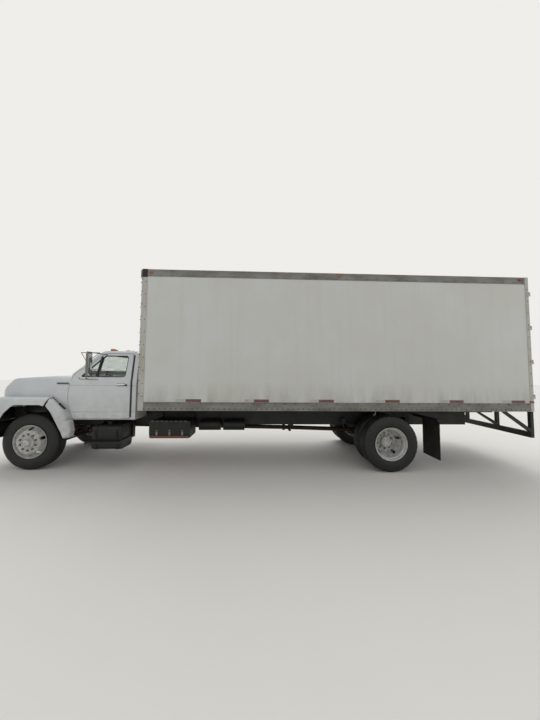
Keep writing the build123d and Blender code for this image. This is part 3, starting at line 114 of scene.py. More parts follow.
def relief(tree, steps):
    # heights with their depth in millimetres and their strength, one bump on top of another
    normal = None
    for height, depthMm, strength in steps:
        settings = {"Height": height, "Distance": depthMm * millimetre, "Strength": strength}
        if normal is not None:
            settings["Normal"] = normal
        normal = addNode(tree, "ShaderNodeBump", settings)
    return normal


def aroundAxle(tree, place, axleX, axleZ):
    # the way out from an axle along Y, how far out a point lies, and its distance from the middle plane
    apart = addNode(tree, "ShaderNodeSeparateXYZ", {"Vector": place}).node
    ahead = addNode(tree, "ShaderNodeMath", {"operation": "SUBTRACT", 0: apart.outputs["X"], 1: axleX})
    above = addNode(tree, "ShaderNodeMath", {"operation": "SUBTRACT", 0: apart.outputs["Z"], 1: axleZ})
    spoke = addNode(tree, "ShaderNodeCombineXYZ", {"X": ahead, "Z": above})
    radius = addNode(tree, "ShaderNodeVectorMath", {"operation": "LENGTH", 0: spoke}, "Value")
    outward = addNode(tree, "ShaderNodeMath", {"operation": "ABSOLUTE", 0: apart.outputs["Y"]})
    return spoke, radius, outward


def behindDisc(tree, place, look):
    # what lies further in than a wheel's disc, whose dish runs from one (radius, Y) to another; painted near
    # black there as brake dust and as painted shade
    radius, outward = aroundAxle(tree, place, look["axleX"], look["axleZ"])[1:]
    (startRadius, startY), (endRadius, endY) = look["dish"]
    surface = addNode(tree, "ShaderNodeMapRange", {
        "Value": radius, "From Min": startRadius, "From Max": endRadius, "To Min": startY, "To Max": endY})
    depth = addNode(tree, "ShaderNodeMath", {"operation": "SUBTRACT", 0: surface, 1: outward})
    inside = addNode(tree, "ShaderNodeMapRange", {"Value": depth, "From Max": look["fadeDeep"]})
    within = addNode(tree, "ShaderNodeMapRange", {
        "Value": radius, "From Min": endRadius + look["fadeOut"], "From Max": endRadius})
    return addNode(tree, "ShaderNodeMath", {"operation": "MULTIPLY", 0: inside, 1: within})


def makeFinish(name, look):
    # a weathered surface: colour in patches, roughness and metal that follow the last one, grain in relief
    material, tree, shader, place = newMaterial(name, look.get("even", {}))
    shares = [patches(tree, place, *spec[1:]) for spec in look["patches"]]
    grain = patches(tree, place, look["grain"][0], 0.2, 0.8, 3.0)
    layers = [(s, spec[0]) for s, spec in zip(shares, look["patches"])]
    if "dish" in look:
        # behind the wheel's disc the colour goes near black: brake dust and painted shade
        layers.append((behindDisc(tree, place, look), look["drumDustAndShade"]))
    links = {"Base Color": coats(tree, look["base"], layers),
             "Normal": relief(tree, [(grain, look["grain"][1], 0.7)])}
    for socket in ("Roughness", "Metallic"):
        if socket in look:
            clean, soiled = look[socket]
            links[socket] = addNode(tree, "ShaderNodeMapRange", {
                "Value": shares[-1], "To Min": clean, "To Max": soiled})
    feed(tree, shader, links)
    return material


# Finishes
# A patch is its colour, its size in mm, where its cloud starts and is full, its detail and its stretch
# Grain is a size and a depth in mm, and the metal and roughness are those of clean and of soiled places

cabEnamel = {
    # sprayed enamel, long in the sun: glossy, chalky in patches, dusty low down, chipped through to rust
    "paint": "#D3D7D9", "chalk": "#C2C7CA", "dust": "#948B7C", "rust": "#74452A", "roughness": (0.27, 0.7),
    "chalkMm": 700, "dustMm": 110, "chipMm": 18, "chippedAreaMm": 420,
    "dustHeights": (1.45, 0.6),  # road dust starts at waist height and is thick near the ground
    "peelMm": 5, "peelDeepMm": 0.04,  # orange peel, drawn coarser than real to show
    # black undercoat and painted shade inside the arches: the front axle's X and Z, and how squarely a face
    # looks toward it
    "undercoatAndShade": "#121212", "archX": 4.280, "archZ": 0.505, "archFacing": 0.48,
    # how far from the axle and from the middle plane the arches' faces lie, and the walls behind the wheels
    "archReach": 0.95, "archInside": 1.125, "wallReach": 0.74, "wallInside": 0.93,
}


def insideArch(tree, place, look):
    # faces that look toward the front axle from close by, and all that lies deep inside the arch, painted
    # near black as undercoat and as painted shade
    spoke, radius, outward = aroundAxle(tree, place, look["archX"], look["archZ"])
    facing = addNode(tree, "ShaderNodeTexCoord", {}, "Normal")
    away = addNode(tree, "ShaderNodeVectorMath", {"operation": "DOT_PRODUCT", 0: facing, 1: spoke}, "Value")
    toward = addNode(tree, "ShaderNodeMath", {"operation": "LESS_THAN", 0: away, 1: -look["archFacing"]})
    shares = []
    for reach, inside, faces in ((look["archReach"], look["archInside"], toward),
                                 (look["wallReach"], look["wallInside"], 1.0)):
        near = addNode(tree, "ShaderNodeMath", {"operation": "LESS_THAN", 0: radius, 1: reach})
        within = addNode(tree, "ShaderNodeMath", {"operation": "LESS_THAN", 0: outward, 1: inside})
        near = addNode(tree, "ShaderNodeMath", {"operation": "MULTIPLY", 0: near, 1: within})
        shares.append(addNode(tree, "ShaderNodeMath", {"operation": "MULTIPLY", 0: near, 1: faces}))
    return addNode(tree, "ShaderNodeMath", {"operation": "MAXIMUM", 0: shares[0], 1: shares[1]})


def weatheredEnamel(name, look):
    material, tree, shader, place = newMaterial(name, {
        "IOR": 1.5, "Coat Weight": 0.3, "Coat Roughness": 0.12})
    lowDown = between(tree, place, "Z", *look["dustHeights"])
    chippedArea = patches(tree, place, look["chippedAreaMm"], 0.5, 0.62)
    chalky = patches(tree, place, look["chalkMm"], 0.35, 0.7)
    dusty = patches(tree, place, look["dustMm"], 0.3, 0.85, 6.0, within=lowDown)
    rusty = patches(tree, place, look["chipMm"], 0.70, 0.74, 2.0, within=chippedArea)
    peel = patches(tree, place, look["peelMm"], 0.2, 0.8, 1.0)
    glossy, dull = look["roughness"]
    feed(tree, shader, {
        "Base Color": coats(tree, look["paint"], [
            (chalky, look["chalk"]), (dusty, look["dust"]), (rusty, look["rust"]),
            # near black inside the arches: undercoat and painted shade
            (insideArch(tree, place, look), look["undercoatAndShade"])]),
        "Roughness": addNode(tree, "ShaderNodeMapRange", {"Value": dusty, "To Min": glossy, "To Max": dull}),
        "Normal": relief(tree, [(peel, look["peelDeepMm"], 0.4)])})
    return material


bodyPanel = {
    # gel-coated glass-fibre sheet: satin, faintly wavy, dented at its fastenings, grimy above the rail
    "gelCoat": "#CDCFCC", "yellowed": "#C9C9C3", "runs": "#C3C2BA", "grime": "#8F8B7E",
    "roughness": (0.33, 0.75), "waveMm": 900, "waveDeepMm": 9, "streakMm": 260, "grimeHeights": (1.62, 1.24),
    "dentSpacing": 0.6, "dentFrom": 1.778, "dentHeight": 2.41, "dentRadius": 0.05, "dentMm": 2.5,
    # the ridge fades out over a stretch at its top and over one at its foot
    "ridgeAt": 0.58, "ridgeHalfWidth": 0.06, "ridgeMm": 6, "ridgeTop": (2.5, 2.1), "ridgeFoot": (1.5, 1.75),
}


def glassFibrePanel(name, look):
    material, tree, shader, place = newMaterial(name, {"IOR": 1.5})
    yellow = patches(tree, place, look["waveMm"], 0.35, 0.7)
    grimy = patches(tree, place, look["streakMm"], 0.35, 0.95, 6.0, (1.6, 1.6, 0.35),
                    between(tree, place, "Z", *look["grimeHeights"]))
    runs = patches(tree, place, look["streakMm"], 0.5, 1.1, 5.0, (2.5, 2.5, 0.12))
    # dents where the sheet is fastened to its posts: distance to the nearest of a row of points
    split = addNode(tree, "ShaderNodeSeparateXYZ", {"Vector": place}).node
    fromFirst = addNode(tree, "ShaderNodeMath", {
        "operation": "SUBTRACT", 0: split.outputs["X"], 1: look["dentFrom"]})
    nearX = addNode(tree, "ShaderNodeMath", {
        "operation": "PINGPONG", 0: fromFirst, 1: look["dentSpacing"] / 2})
    offZ = addNode(tree, "ShaderNodeMath", {
        "operation": "SUBTRACT", 0: split.outputs["Z"], 1: look["dentHeight"]})
    inPlane = addNode(tree, "ShaderNodeCombineXYZ", {"X": nearX, "Z": offZ})
    away = addNode(tree, "ShaderNodeVectorMath", {"operation": "LENGTH", 0: inPlane}, "Value")
    dent = addNode(tree, "ShaderNodeMapRange", {
        "interpolation_type": "SMOOTHSTEP", "Value": away, "From Max": look["dentRadius"]})
    # one post shows through the sheet as an upright ridge
    fromRidge = addNode(tree, "ShaderNodeMath", {
        "operation": "SUBTRACT", 0: split.outputs["X"], 1: look["ridgeAt"]})
    fromRidge = addNode(tree, "ShaderNodeMath", {"operation": "ABSOLUTE", 0: fromRidge})
    ridge = addNode(tree, "ShaderNodeMapRange", {
        "interpolation_type": "SMOOTHSTEP", "Value": fromRidge, "From Max": look["ridgeHalfWidth"],
        "To Min": 1.0, "To Max": 0.0})
    for heights in (look["ridgeTop"], look["ridgeFoot"]):
        ridge = addNode(tree, "ShaderNodeMath", {
            "operation": "MULTIPLY", 0: ridge, 1: between(tree, place, "Z", *heights)})
    wave = patches(tree, place, look["waveMm"], 0.0, 1.0, 1.0)
    glossy, dull = look["roughness"]
    feed(tree, shader, {
        "Base Color": coats(tree, look["gelCoat"], [
            (yellow, look["yellowed"]), (runs, look["runs"]), (grimy, look["grime"])]),
        "Roughness": addNode(tree, "ShaderNodeMapRange", {"Value": grimy, "To Min": glossy, "To Max": dull}),
        "Normal": relief(tree, [
            (wave, look["waveDeepMm"], 1.0), (dent, look["dentMm"], 1.0), (ridge, look["ridgeMm"], 1.0)])})
    return material


weatheredLooks = {
    # extruded aluminium as it left the mill: soft sheen drawn lengthwise, oxide bloom and road film
    "millAluminium": {
        "base": "#71716E", "grain": (30, 0.1), "Metallic": (0.6, 0.15), "Roughness": (0.4, 0.7),
        "patches": [("#8A8A85", 30, 0.25, 0.8, 5.0, (0.06, 1, 1.4)),
                    ("#57534A", 170, 0.42, 0.85, 7.0, (0.5, 1, 1))]},
    # thin white paint on the corner posts and rear frame, rubbed and flaking to the metal
    "postPaint": {
        "base": "#B9B8B1", "grain": (9, 0.2), "Roughness": (0.4, 0.6),
        "patches": [("#948D7F", 260, 0.4, 0.85, 6.0, (1, 1, 0.4)), ("#77766F", 45, 0.66, 0.7, 4.0)]},
    # forged and rolled steel left bare: brown rust in layers, dark and smoother where oil keeps it wet
    "rustedSteel": {
        "base": "#47342A", "grain": (22, 0.5), "Roughness": (0.85, 0.45), "Metallic": (0.15, 0.35),
        "patches": [("#2A211B", 55, 0.35, 0.65, 8.0), ("#181614", 240, 0.45, 0.75)]},
    # sand-cast iron of the engine and gearbox: dark, pebbled by the mould, oily in patches
    "castIron": {
        "base": "#3A3B3F", "grain": (5, 0.5), "Roughness": (0.75, 0.4), "Metallic": (0.4, 0.3),
        "patches": [("#4A4038", 120, 0.45, 0.8, 6.0), ("#1B1916", 200, 0.45, 0.7, 6.0)]},
    # stove enamel on pressed disc wheels: pale grey, brake dust in the dish, rust creeping out in specks
    "wheelEnamel": {
        "base": "#BFC0BD", "grain": (8, 0.08), "Roughness": (0.36, 0.8), "even": {"IOR": 1.5},
        "patches": [("#7B7265", 80, 0.42, 0.9, 6.0), ("#6B4029", 26, 0.62, 0.70, 6.0)]},
    # aluminium rivets with dirt and oxide grown round their heads, their whole colour darkened further as
    # painted shade
    "grimeAndShadeRivet": {
        "base": "#4B4A46", "grain": (3, 0.05), "Roughness": (0.5, 0.8), "Metallic": (0.5, 0.2),
        "patches": [("#2B2A27", 25, 0.4, 0.8, 4.0)]},
    # zinc-plated fasteners, gone dull grey
    "zincPlate": {
        "base": "#8F8E8A", "grain": (6, 0.05), "Roughness": (0.35, 0.65), "Metallic": (0.85, 0.4),
        "patches": [("#6B665D", 60, 0.4, 0.85, 6.0)]},
    # decorative chrome: near mirror, filmed over in places
    "chromePlate": {
        "base": "#D2D4D5", "grain": (40, 0.02), "Roughness": (0.06, 0.32), "Metallic": (1.0, 0.8),
        "patches": [("#A09C94", 80, 0.5, 0.9, 6.0)]},
    # brushed-on black chassis paint: matt, rust at chips
    "chassisBlack": {
        "base": "#0C0D0E", "grain": (7, 0.25), "Roughness": (0.5, 0.85),
        "patches": [("#2C211A", 60, 0.62, 0.76, 7.0), ("#1F1D1A", 130, 0.4, 1.0, 6.0)]},
    # moulded ABS with a leather grain, drawn coarser than real to show, faded where the sun reaches it
    "grainedPlastic": {
        "base": "#26272A", "grain": (3, 0.12), "Roughness": (0.48, 0.68), "even": {"IOR": 1.53},
        "patches": [("#3B3C3E", 260, 0.4, 0.75, 4.0)]},
    # moulded tyre rubber, greyed by sun, with pale dust held in its grain
    "tyreRubber": {
        "base": "#0F1011", "grain": (4, 0.15), "Roughness": (0.62, 0.95), "even": {"IOR": 1.5},
        "patches": [("#1A1A1A", 300, 0.3, 0.8, 3.0), ("#34302A", 90, 0.5, 1.1, 7.0)]},
    # sheet rubber of the mud flaps, with dried splashes
    "flapRubber": {
        "base": "#151515", "grain": (5, 0.15), "Roughness": (0.6, 0.95), "even": {"IOR": 1.5},
        "patches": [("#4F493F", 60, 0.46, 0.9, 7.0, (1, 1, 0.5))]},
    # extruded rubber of the window and door seals
    "sealRubber": {
        "base": "#0F1011", "grain": (6, 0.05), "Roughness": (0.5, 0.8), "even": {"IOR": 1.5},
        "patches": [("#34322E", 90, 0.5, 1.0, 5.0)]},
    # vinyl-coated cloth on the bench: soft sheen, leather grain, paler along the crowns
    "seatVinyl": {
        "base": "#3E4248", "grain": (4, 0.25), "Roughness": (0.42, 0.6),
        "even": {"IOR": 1.5, "Sheen Weight": 0.15, "Sheen Roughness": 0.4},
        "patches": [("#5A5D60", 220, 0.4, 0.8, 4.0)]},
    # laminated hardwood boards: scuffed oil finish, grain drawn out along the boards
    "oakDeck": {
        "base": "#8A6B48", "grain": (12, 0.2), "Roughness": (0.5, 0.75), "even": {"IOR": 1.45},
        "patches": [("#5C4429", 22, 0.3, 0.8, 7.0, (0.04, 1, 1)), ("#6F6354", 400, 0.45, 0.8, 5.0)]},
    # light grey paint on the cab's inside and its trim, matt and hand-marked
    "innerPaint": {
        "base": "#8E9194", "grain": (6, 0.08), "Roughness": (0.45, 0.7), "even": {"IOR": 1.5},
        "patches": [("#74736E", 180, 0.45, 0.8, 5.0)]},
    # printed card of the dials, matt black, and the paint of their needles and marks
    "dialBlack": {
        "base": "#101113", "grain": (4, 0.02), "Roughness": (0.35, 0.5),
        "patches": [("#1A1B1D", 30, 0.4, 0.9)]},
    "dialWhite": {
        "base": "#D8D6CC", "grain": (4, 0.02), "Roughness": (0.5, 0.6),
        "patches": [("#C2BEB0", 12, 0.4, 0.9)]},
    # primer-red paint on the plate under the tool box, faded and splashed
    "redOxide": {
        "base": "#7E3A30", "grain": (8, 0.15), "Roughness": (0.55, 0.85), "even": {"IOR": 1.5},
        "patches": [("#6A5A4C", 70, 0.4, 0.8, 6.0)]},
    # silvered glass: a clean mirror with a breath of dust
    "mirrorGlass": {
        "base": "#E6E9EA", "grain": (50, 0.01), "Roughness": (0.02, 0.1), "Metallic": (1.0, 1.0),
        "patches": [("#D5D8D9", 200, 0.4, 0.9, 3.0)]},
}

# where each wheel's disc lies, as (radius, Y) at the two ends of its dish, for the black brake dust and
# painted shade behind it
drumDustAndShade = {"axleZ": 0.505, "drumDustAndShade": "#16130F", "fadeDeep": 0.006, "fadeOut": 0.004}
wheelInsides = {
    "frontWheelEnamel": {"axleX": 4.280, "dish": ((0.214, 0.990), (0.255, 0.900))},
    "rearWheelEnamel": {"axleX": -2.280, "dish": ((0.214, 0.922), (0.255, 1.012))},
}
wheelEnamel = weatheredLooks.pop("wheelEnamel")
for wheelFinish, wheelInside in wheelInsides.items():
    weatheredLooks[wheelFinish] = {**wheelEnamel, **drumDustAndShade, **wheelInside}


tintedPane = {"glass": "#EDF3F0", "dustMm": 700, "dustRough": 0.05}


def tintedGlass(name, look):
    # toughened soda-lime glass, green in its depth, with a trace of dust that softens the reflections
    material, tree, shader, place = newMaterial(name, {
        "IOR": 1.52, "Transmission Weight": 1.0, "Base Color": linearColour(look["glass"])})
    film = patches(tree, place, look["dustMm"], 0.3, 0.9, 1.0)
    feed(tree, shader, {"Roughness": addNode(tree, "ShaderNodeMapRange", {
        "Value": film, "To Min": 0.0, "To Max": look["dustRough"]})})
    return material


lensLooks = {  # colour, shaded colour, rib spacing in mm
    "amberLens": ("#C8661C", "#A34E12", 6),
    "redLens": ("#9A1812", "#74110D", 6),
    "clearLens": ("#C9CFD2", "#AEB5B9", 12),
}
rearmostRoofLamps = (-4.6, -4.7)  # the X range in which the lamps of the amber row turn red


def ribbedLens(name, look, rearward=None):
    # moulded acrylic lens: clear gloss over a ribbed inner face, red past the X range given
    body, shade, ribMm = look
    material, tree, shader, place = newMaterial(name, {
        "IOR": 1.49, "Roughness": 0.14, "Transmission Weight": 0.2, "Coat Weight": 0.5})
    layers = [(patches(tree, place, 40, 0.3, 0.8), shade)]
    if rearward:
        layers.append((between(tree, place, "X", *rearward), lensLooks["redLens"][0]))
    bandsPerMetre = math.tau / 20  # scale of a wave texture that has one band in a metre
    ribs = addNode(tree, "ShaderNodeTexWave", {
        "bands_direction": "Z", "Vector": place, "Scale": bandsPerMetre * 1000 / ribMm, "Distortion": 0.0})
    feed(tree, shader, {"Base Color": coats(tree, body, layers), "Normal": relief(tree, [(ribs, 0.6, 0.5)])})
    return material


tapeLooks = {  # colour, and the colour of the cells' glint
    "redTape": ("#5C2A28", "#7A4E4B"), "whiteTape": ("#A9A8A3", "#D5D2CB"),
}
tapeFilm = {"cellMm": 9, "dirtMm": 80, "dirt": "#6F685C"}  # cells are 4 mm in life and drawn larger to show


def reflectiveTape(name, colour, glintColour):
    # prismatic vinyl tape: a honeycomb of cells under a clear film
    material, tree, shader, place = newMaterial(name, {"IOR": 1.5, "Roughness": 0.3, "Coat Weight": 0.4})
    cells = addNode(tree, "ShaderNodeTexVoronoi", {"Vector": place, "Scale": 1000 / tapeFilm["cellMm"]})
    glint = addNode(tree, "ShaderNodeMapRange", {
        "Value": cells, "From Max": 0.7, "To Min": 0.5, "To Max": 0.0})
    dirty = patches(tree, place, tapeFilm["dirtMm"], 0.5, 0.95, 6.0)
    feed(tree, shader, {"Base Color": coats(tree, colour, [(glint, glintColour), (dirty, tapeFilm["dirt"])]),
                        "Normal": relief(tree, [(cells, 0.1, 0.4)])})
    return material


finishes = {name: makeFinish(name, look) for name, look in weatheredLooks.items()}
finishes["cabEnamel"] = weatheredEnamel("cabEnamel", cabEnamel)
finishes["bodyPanel"] = glassFibrePanel("glassFibrePanel", bodyPanel)
finishes["tintedGlass"] = tintedGlass("tintedGlass", tintedPane)
for lensName, lensLook in lensLooks.items():
    rearward = rearmostRoofLamps if lensName == "amberLens" else None
    finishes[lensName] = ribbedLens(lensName, lensLook, rearward)
for tapeName, tapeColours in tapeLooks.items():
    finishes[tapeName] = reflectiveTape(tapeName, *tapeColours)

finishOfNode = {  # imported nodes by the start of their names, under the finish that each gets
    "cabEnamel": ("cab_shell", "hood_shell", "door_left", "door_right", "fender_extensions", "front_bumper"),
    "bodyPanel": ("side_panels", "front_wall", "roof_panel", "rear_door_"),
    "millAluminium": ("bottom_rails", "top_rails", "door_mirror_"),
    "postPaint": ("corner_posts", "rear_frame"),
    "chassisBlack": ("frame_rails", "cross_members", "floor_beams", "spring_hangers", "rear_guard",
                     "air_tanks", "fuel_tank", "tool_box", "cab_steps"),
    "rustedSteel": ("leaf_springs", "front_axle", "rear_axle", "knuckle_", "tie_rod", "drive_shaft",
                    "exhaust_pipe"),
    "castIron": ("engine_block",),
    "frontWheelEnamel": ("front_wheel_",), "rearWheelEnamel": ("rear_wheels_",),
    "tyreRubber": ("front_tyre_", "rear_tyres_"), "flapRubber": ("mud_flaps",),
    "grainedPlastic": ("dashboard", "steering_", "grille", "radiator"),
    "tintedGlass": ("cab_glass", "door_glass_"), "amberLens": ("marker_lamps",), "redLens": ("tail_lamps",),
    "clearLens": ("headlamps",), "oakDeck": ("body_floor",), "zincPlate": ("lock_rods_",),
    "seatVinyl": ("bench_seat",),
}
finishedNodes = set()
for finishName, starts in finishOfNode.items():
    for nodeName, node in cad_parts.items():
        if nodeName.startswith(starts):
            node.data.materials.clear()
            node.data.materials.append(finishes[finishName])
            finishedNodes.add(nodeName)
print("finishes made:", len(finishes), "- nodes without one:", sorted(set(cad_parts) - finishedNodes))


# Floor, light and camera

studio = {
    "floor": "#E9E7E2", "floorMottle": "#E4E2DC", "mottleMm": 2500, "floorHalf": 60,
    "light": "#FFFFFF", "lightStrength": 0.62, "backdrop": "#F4F3F0", "backdropStrength": 0.95,
    # a sun as wide as this casts the soft shadows of a large lamp, turned about X, Y and Z in degrees
    "sunStrength": 1.3, "sunWide": 62, "sunTurn": (38, 10, -25),
}


def plainFloor(look):
    material, tree, shader, place = newMaterial("studioFloor", {"Roughness": 0.9})
    mottled = patches(tree, place, look["mottleMm"], 0.3, 0.9)
    feed(tree, shader, {"Base Color": coats(tree, look["floor"], [(mottled, look["floorMottle"])])})
    shape = bmesh.new()
    bmesh.ops.create_grid(shape, x_segments=1, y_segments=1, size=look["floorHalf"])
    mesh = bpy.data.meshes.new("studioFloor")
    shape.to_mesh(mesh)
    shape.free()
    mesh.materials.append(material)
    floor = bpy.data.objects.new("studioFloor", mesh)
    bpy.context.scene.collection.objects.link(floor)


def softLight(look):
    # pale sky for the camera, for gloss and through glass, and a weaker even light on everything else
    world = bpy.data.worlds.new("studioWorld")
    bpy.context.scene.world = world
    world.use_nodes = True
    tree = world.node_tree
    tree.nodes.clear()
    path = addNode(tree, "ShaderNodeLightPath", {}).node
    seen = path.outputs["Is Camera Ray"]
    for ray in ("Is Glossy Ray", "Is Transmission Ray"):
        seen = addNode(tree, "ShaderNodeMath", {"operation": "MAXIMUM", 0: seen, 1: path.outputs[ray]})
    light, backdrop = [
        addNode(tree, "ShaderNodeBackground", {
            "Color": linearColour(look[key]), "Strength": look[key + "Strength"]})
        for key in ("light", "backdrop")]
    mixed = addNode(tree, "ShaderNodeMixShader", {0: seen, 1: light, 2: backdrop})
    addNode(tree, "ShaderNodeOutputWorld", {"Surface": mixed})
    lamp = bpy.data.lights.new("softSun", "SUN")
    lamp.energy = look["sunStrength"]
    lamp.angle = math.radians(look["sunWide"])
    sun = bpy.data.objects.new("softSun", lamp)
    sun.rotation_euler = [math.radians(degrees) for degrees in look["sunTurn"]]
    bpy.context.scene.collection.objects.link(sun)


photoCamera = {  # fitted to the photograph: metres, millimetres and radians
    "place": (0.118, 5.851, 1.755), "lens": 12.785, "sensor": 36, "farthest": 200,
    "pitch": 0.0573, "yaw": 0.0373, "roll": 0.0077,
}


def placeCamera(look):
    data = bpy.data.cameras.new("photoCamera")
    data.lens = look["lens"]
    data.sensor_width = look["sensor"]
    data.clip_end = look["farthest"]
    camera = bpy.data.objects.new("photoCamera", data)
    bpy.context.scene.collection.objects.link(camera)
    facingTruck = Matrix(((-1, 0, 0), (0, 0, 1), (0, 1, 0)))
    turned = (facingTruck @ Matrix.Rotation(-look["yaw"], 3, "Y") @ Matrix.Rotation(look["pitch"], 3, "X")
              @ Matrix.Rotation(look["roll"], 3, "Z"))
    camera.matrix_world = Matrix.Translation(look["place"]) @ turned.to_4x4()
    bpy.context.scene.camera = camera


plainFloor(studio)
softLight(studio)
placeCamera(photoCamera)
bpy.context.scene.view_settings.view_transform = "Standard"
print("floor, light and camera set")


# Pieces

def placePiece(name, shape, body, finish, slotName=None, smoothBelow=35):
    # a mesh in its place becomes a piece that rides on its body
    mesh = bpy.data.meshes.new(name)
    shape.to_mesh(mesh)
    shape.free()
    mesh.materials.append(finishes[finish])
    mesh.shade_smooth()
    mesh.set_sharp_from_angle(angle=math.radians(smoothBelow))
    piece = bpy.data.objects.new(name, mesh)
    bpy.context.scene.collection.objects.link(piece)
    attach(piece, body)
    return piece


def ordered(first, last):
    # the low and the high corner of a block given by any two opposite corners
    return [list(corner) for corner in zip(*[sorted(pair) for pair in zip(first, last)])]


def addBox(shape, first, last, bevel=0.0, segments=2, turn=None):
    # a block with rounded edges, turned about its own middle
    low, high = [Vector(corner) for corner in ordered(first, last)]
    made = bmesh.ops.create_cube(shape, size=1)["verts"]
    bmesh.ops.scale(shape, vec=high - low, verts=made)
    if bevel:
        edges = list(dict.fromkeys(edge for corner in made for edge in corner.link_edges))
        made = bmesh.ops.bevel(shape, geom=edges, offset=bevel, segments=segments, affect="EDGES",
                               profile=0.5, material=-1)["verts"]
    if turn is not None:
        bmesh.ops.rotate(shape, cent=(0, 0, 0), matrix=turn, verts=made)
    bmesh.ops.translate(shape, vec=(low + high) / 2, verts=made)
    return made


def alongTo(start, end):
    # matrix that takes a cone made along Z at the origin to the run between two points
    start, end = Vector(start), Vector(end)
    facing = (end - start).to_track_quat("Z", "Y").to_matrix().to_4x4()
    return Matrix.Translation((start + end) / 2) @ facing


def addRod(shape, start, end, radius, endRadius=None, sides=12):
    length = (Vector(end) - Vector(start)).length
    endRadius = radius if endRadius is None else endRadius
    bmesh.ops.create_cone(shape, cap_ends=True, segments=sides, radius1=radius, radius2=endRadius,
                          depth=length, matrix=alongTo(start, end))


def addBentRod(shape, bends, radius, sides):
    for start, end in zip(bends, bends[1:]):
        addRod(shape, start, end, radius, sides=sides)


rooted = 0.001  # how far a small part is sunk into what it stands on


def addDome(shape, place, outward, radius, height, sides=8):
    # a rivet or bolt head: a low cone with its point cut off, seen as round under smooth shading
    place, outward = Vector(place), Vector(outward)
    addRod(shape, place - outward * rooted, place + outward * height, radius, radius * 0.55, sides)


def addBolt(shape, place, outward, across, height, stud=0.0):
    # a hexagon head or nut, with a washer under it and the stud's end through it
    place, outward = Vector(place), Vector(outward)
    washer, top = place + outward * height * 0.2, place + outward * height
    addRod(shape, place - outward * rooted, washer, across * 0.62, sides=12)
    addRod(shape, washer, top, across * 0.5, across * 0.46, 6)
    if stud:
        addRod(shape, top, top + outward * stud, across * 0.22, sides=8)


def addRing(shape, profile, centre, steps):
    # a section of (radius, offset along Y) turned once about the wheel's axle
    x, y, z = centre
    corners = [shape.verts.new((x + radius, y + offset, z)) for radius, offset in profile]
    edges = [shape.edges.new(ends) for ends in zip(corners, corners[1:] + corners[:1])]
    bmesh.ops.spin(shape, geom=corners + edges, cent=centre, axis=(0, 1, 0), angle=math.tau, steps=steps,
                   use_merge=True)
    bmesh.ops.remove_doubles(shape, verts=shape.verts, dist=1e-5)


# Tyres

tread = {
    "steps": 144, "grooveDepth": 0.010, "grooveEdge": 0.0015, "zigzag": 0.0035, "zigzagSteps": 4,
    "shoulder": 0.486, "crown": 0.5025,  # radii past which faces may be cut and corners wander
    # the grooves' edges across the tread: offset, and the tread's radius there
    "columns": ((0.066, 0.5035), (0.058, 0.5048), (0.028, 0.505), (0.019, 0.505)),
    # outside of one half from shoulder to bead, then inside from bead to crown: radius, offset
    "outside": ((0.501, 0.089), (0.493, 0.1), (0.485, 0.107), (0.472, 0.112), (0.468, 0.1145),
                (0.4457, 0.1207), (0.425, 0.1248), (0.421, 0.1262), (0.3938, 0.127), (0.37, 0.1255),
                (0.3457, 0.122), (0.325, 0.1163), (0.321, 0.1125), (0.2998, 0.107), (0.2861, 0.103)),
    "inside": ((0.2861, 0.083), (0.3097, 0.091), (0.3857, 0.113), (0.445, 0.101), (0.481, 0.067)),
    # steps from one cut across the tread to the next: none on the steered wheels
    "frontPitch": 0, "rearPitch": 4,
}


def treadTyre(name, centres, body, replaced, lugPitch):
    shape = bmesh.new()
    half = [(radius, offset) for offset, radius in tread["columns"][::-1]]
    half += [*tread["outside"], *tread["inside"]]
    section = half + [(radius, -offset) for radius, offset in half[::-1]]
    for centre in centres:
        addRing(shape, section, centre, tread["steps"])
    bmesh.ops.recalc_face_normals(shape, faces=shape.faces)

    def onTyre(place, stepShift=0.0):
        # offset from the nearest tyre's middle, radius, and step round it
        near = min(centres, key=lambda centre: abs(place.y - centre[1]))
        ahead, above = place.x - near[0], place.z - near[2]
        step = round(math.atan2(above, ahead) / math.tau * tread["steps"] - stepShift)
        return abs(place.y - near[1]), math.hypot(ahead, above), step

    (wideOuter, _), (wideInner, _), (outer, _), (inner, _) = tread["columns"]
    grooves = []
    for face in shape.faces:
        offset, radius, step = onTyre(face.calc_center_median(), 0.5)
        if radius < tread["shoulder"]:
            continue
        if inner < offset < outer or wideInner < offset < wideOuter:
            grooves.append(face)
        elif lugPitch and offset > wideOuter and step % lugPitch == 0:
            grooves.append(face)
        elif lugPitch and outer < offset < wideInner and step % lugPitch == lugPitch // 2:
            grooves.append(face)
    # the groove edges wander from side to side, one step after another
    for corner in shape.verts:
        offset, radius, step = onTyre(corner.co)
        if radius > tread["crown"]:
            outward = step % tread["zigzagSteps"] < tread["zigzagSteps"] / 2
            corner.co.y += tread["zigzag"] if outward else -tread["zigzag"]
    bmesh.ops.inset_region(shape, faces=grooves, thickness=tread["grooveEdge"], depth=-tread["grooveDepth"],
                           use_even_offset=True, use_boundary=True)
    piece = placePiece(name, shape, body, "tyreRubber", "tyre_rubber", 30)
    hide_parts(*replaced)


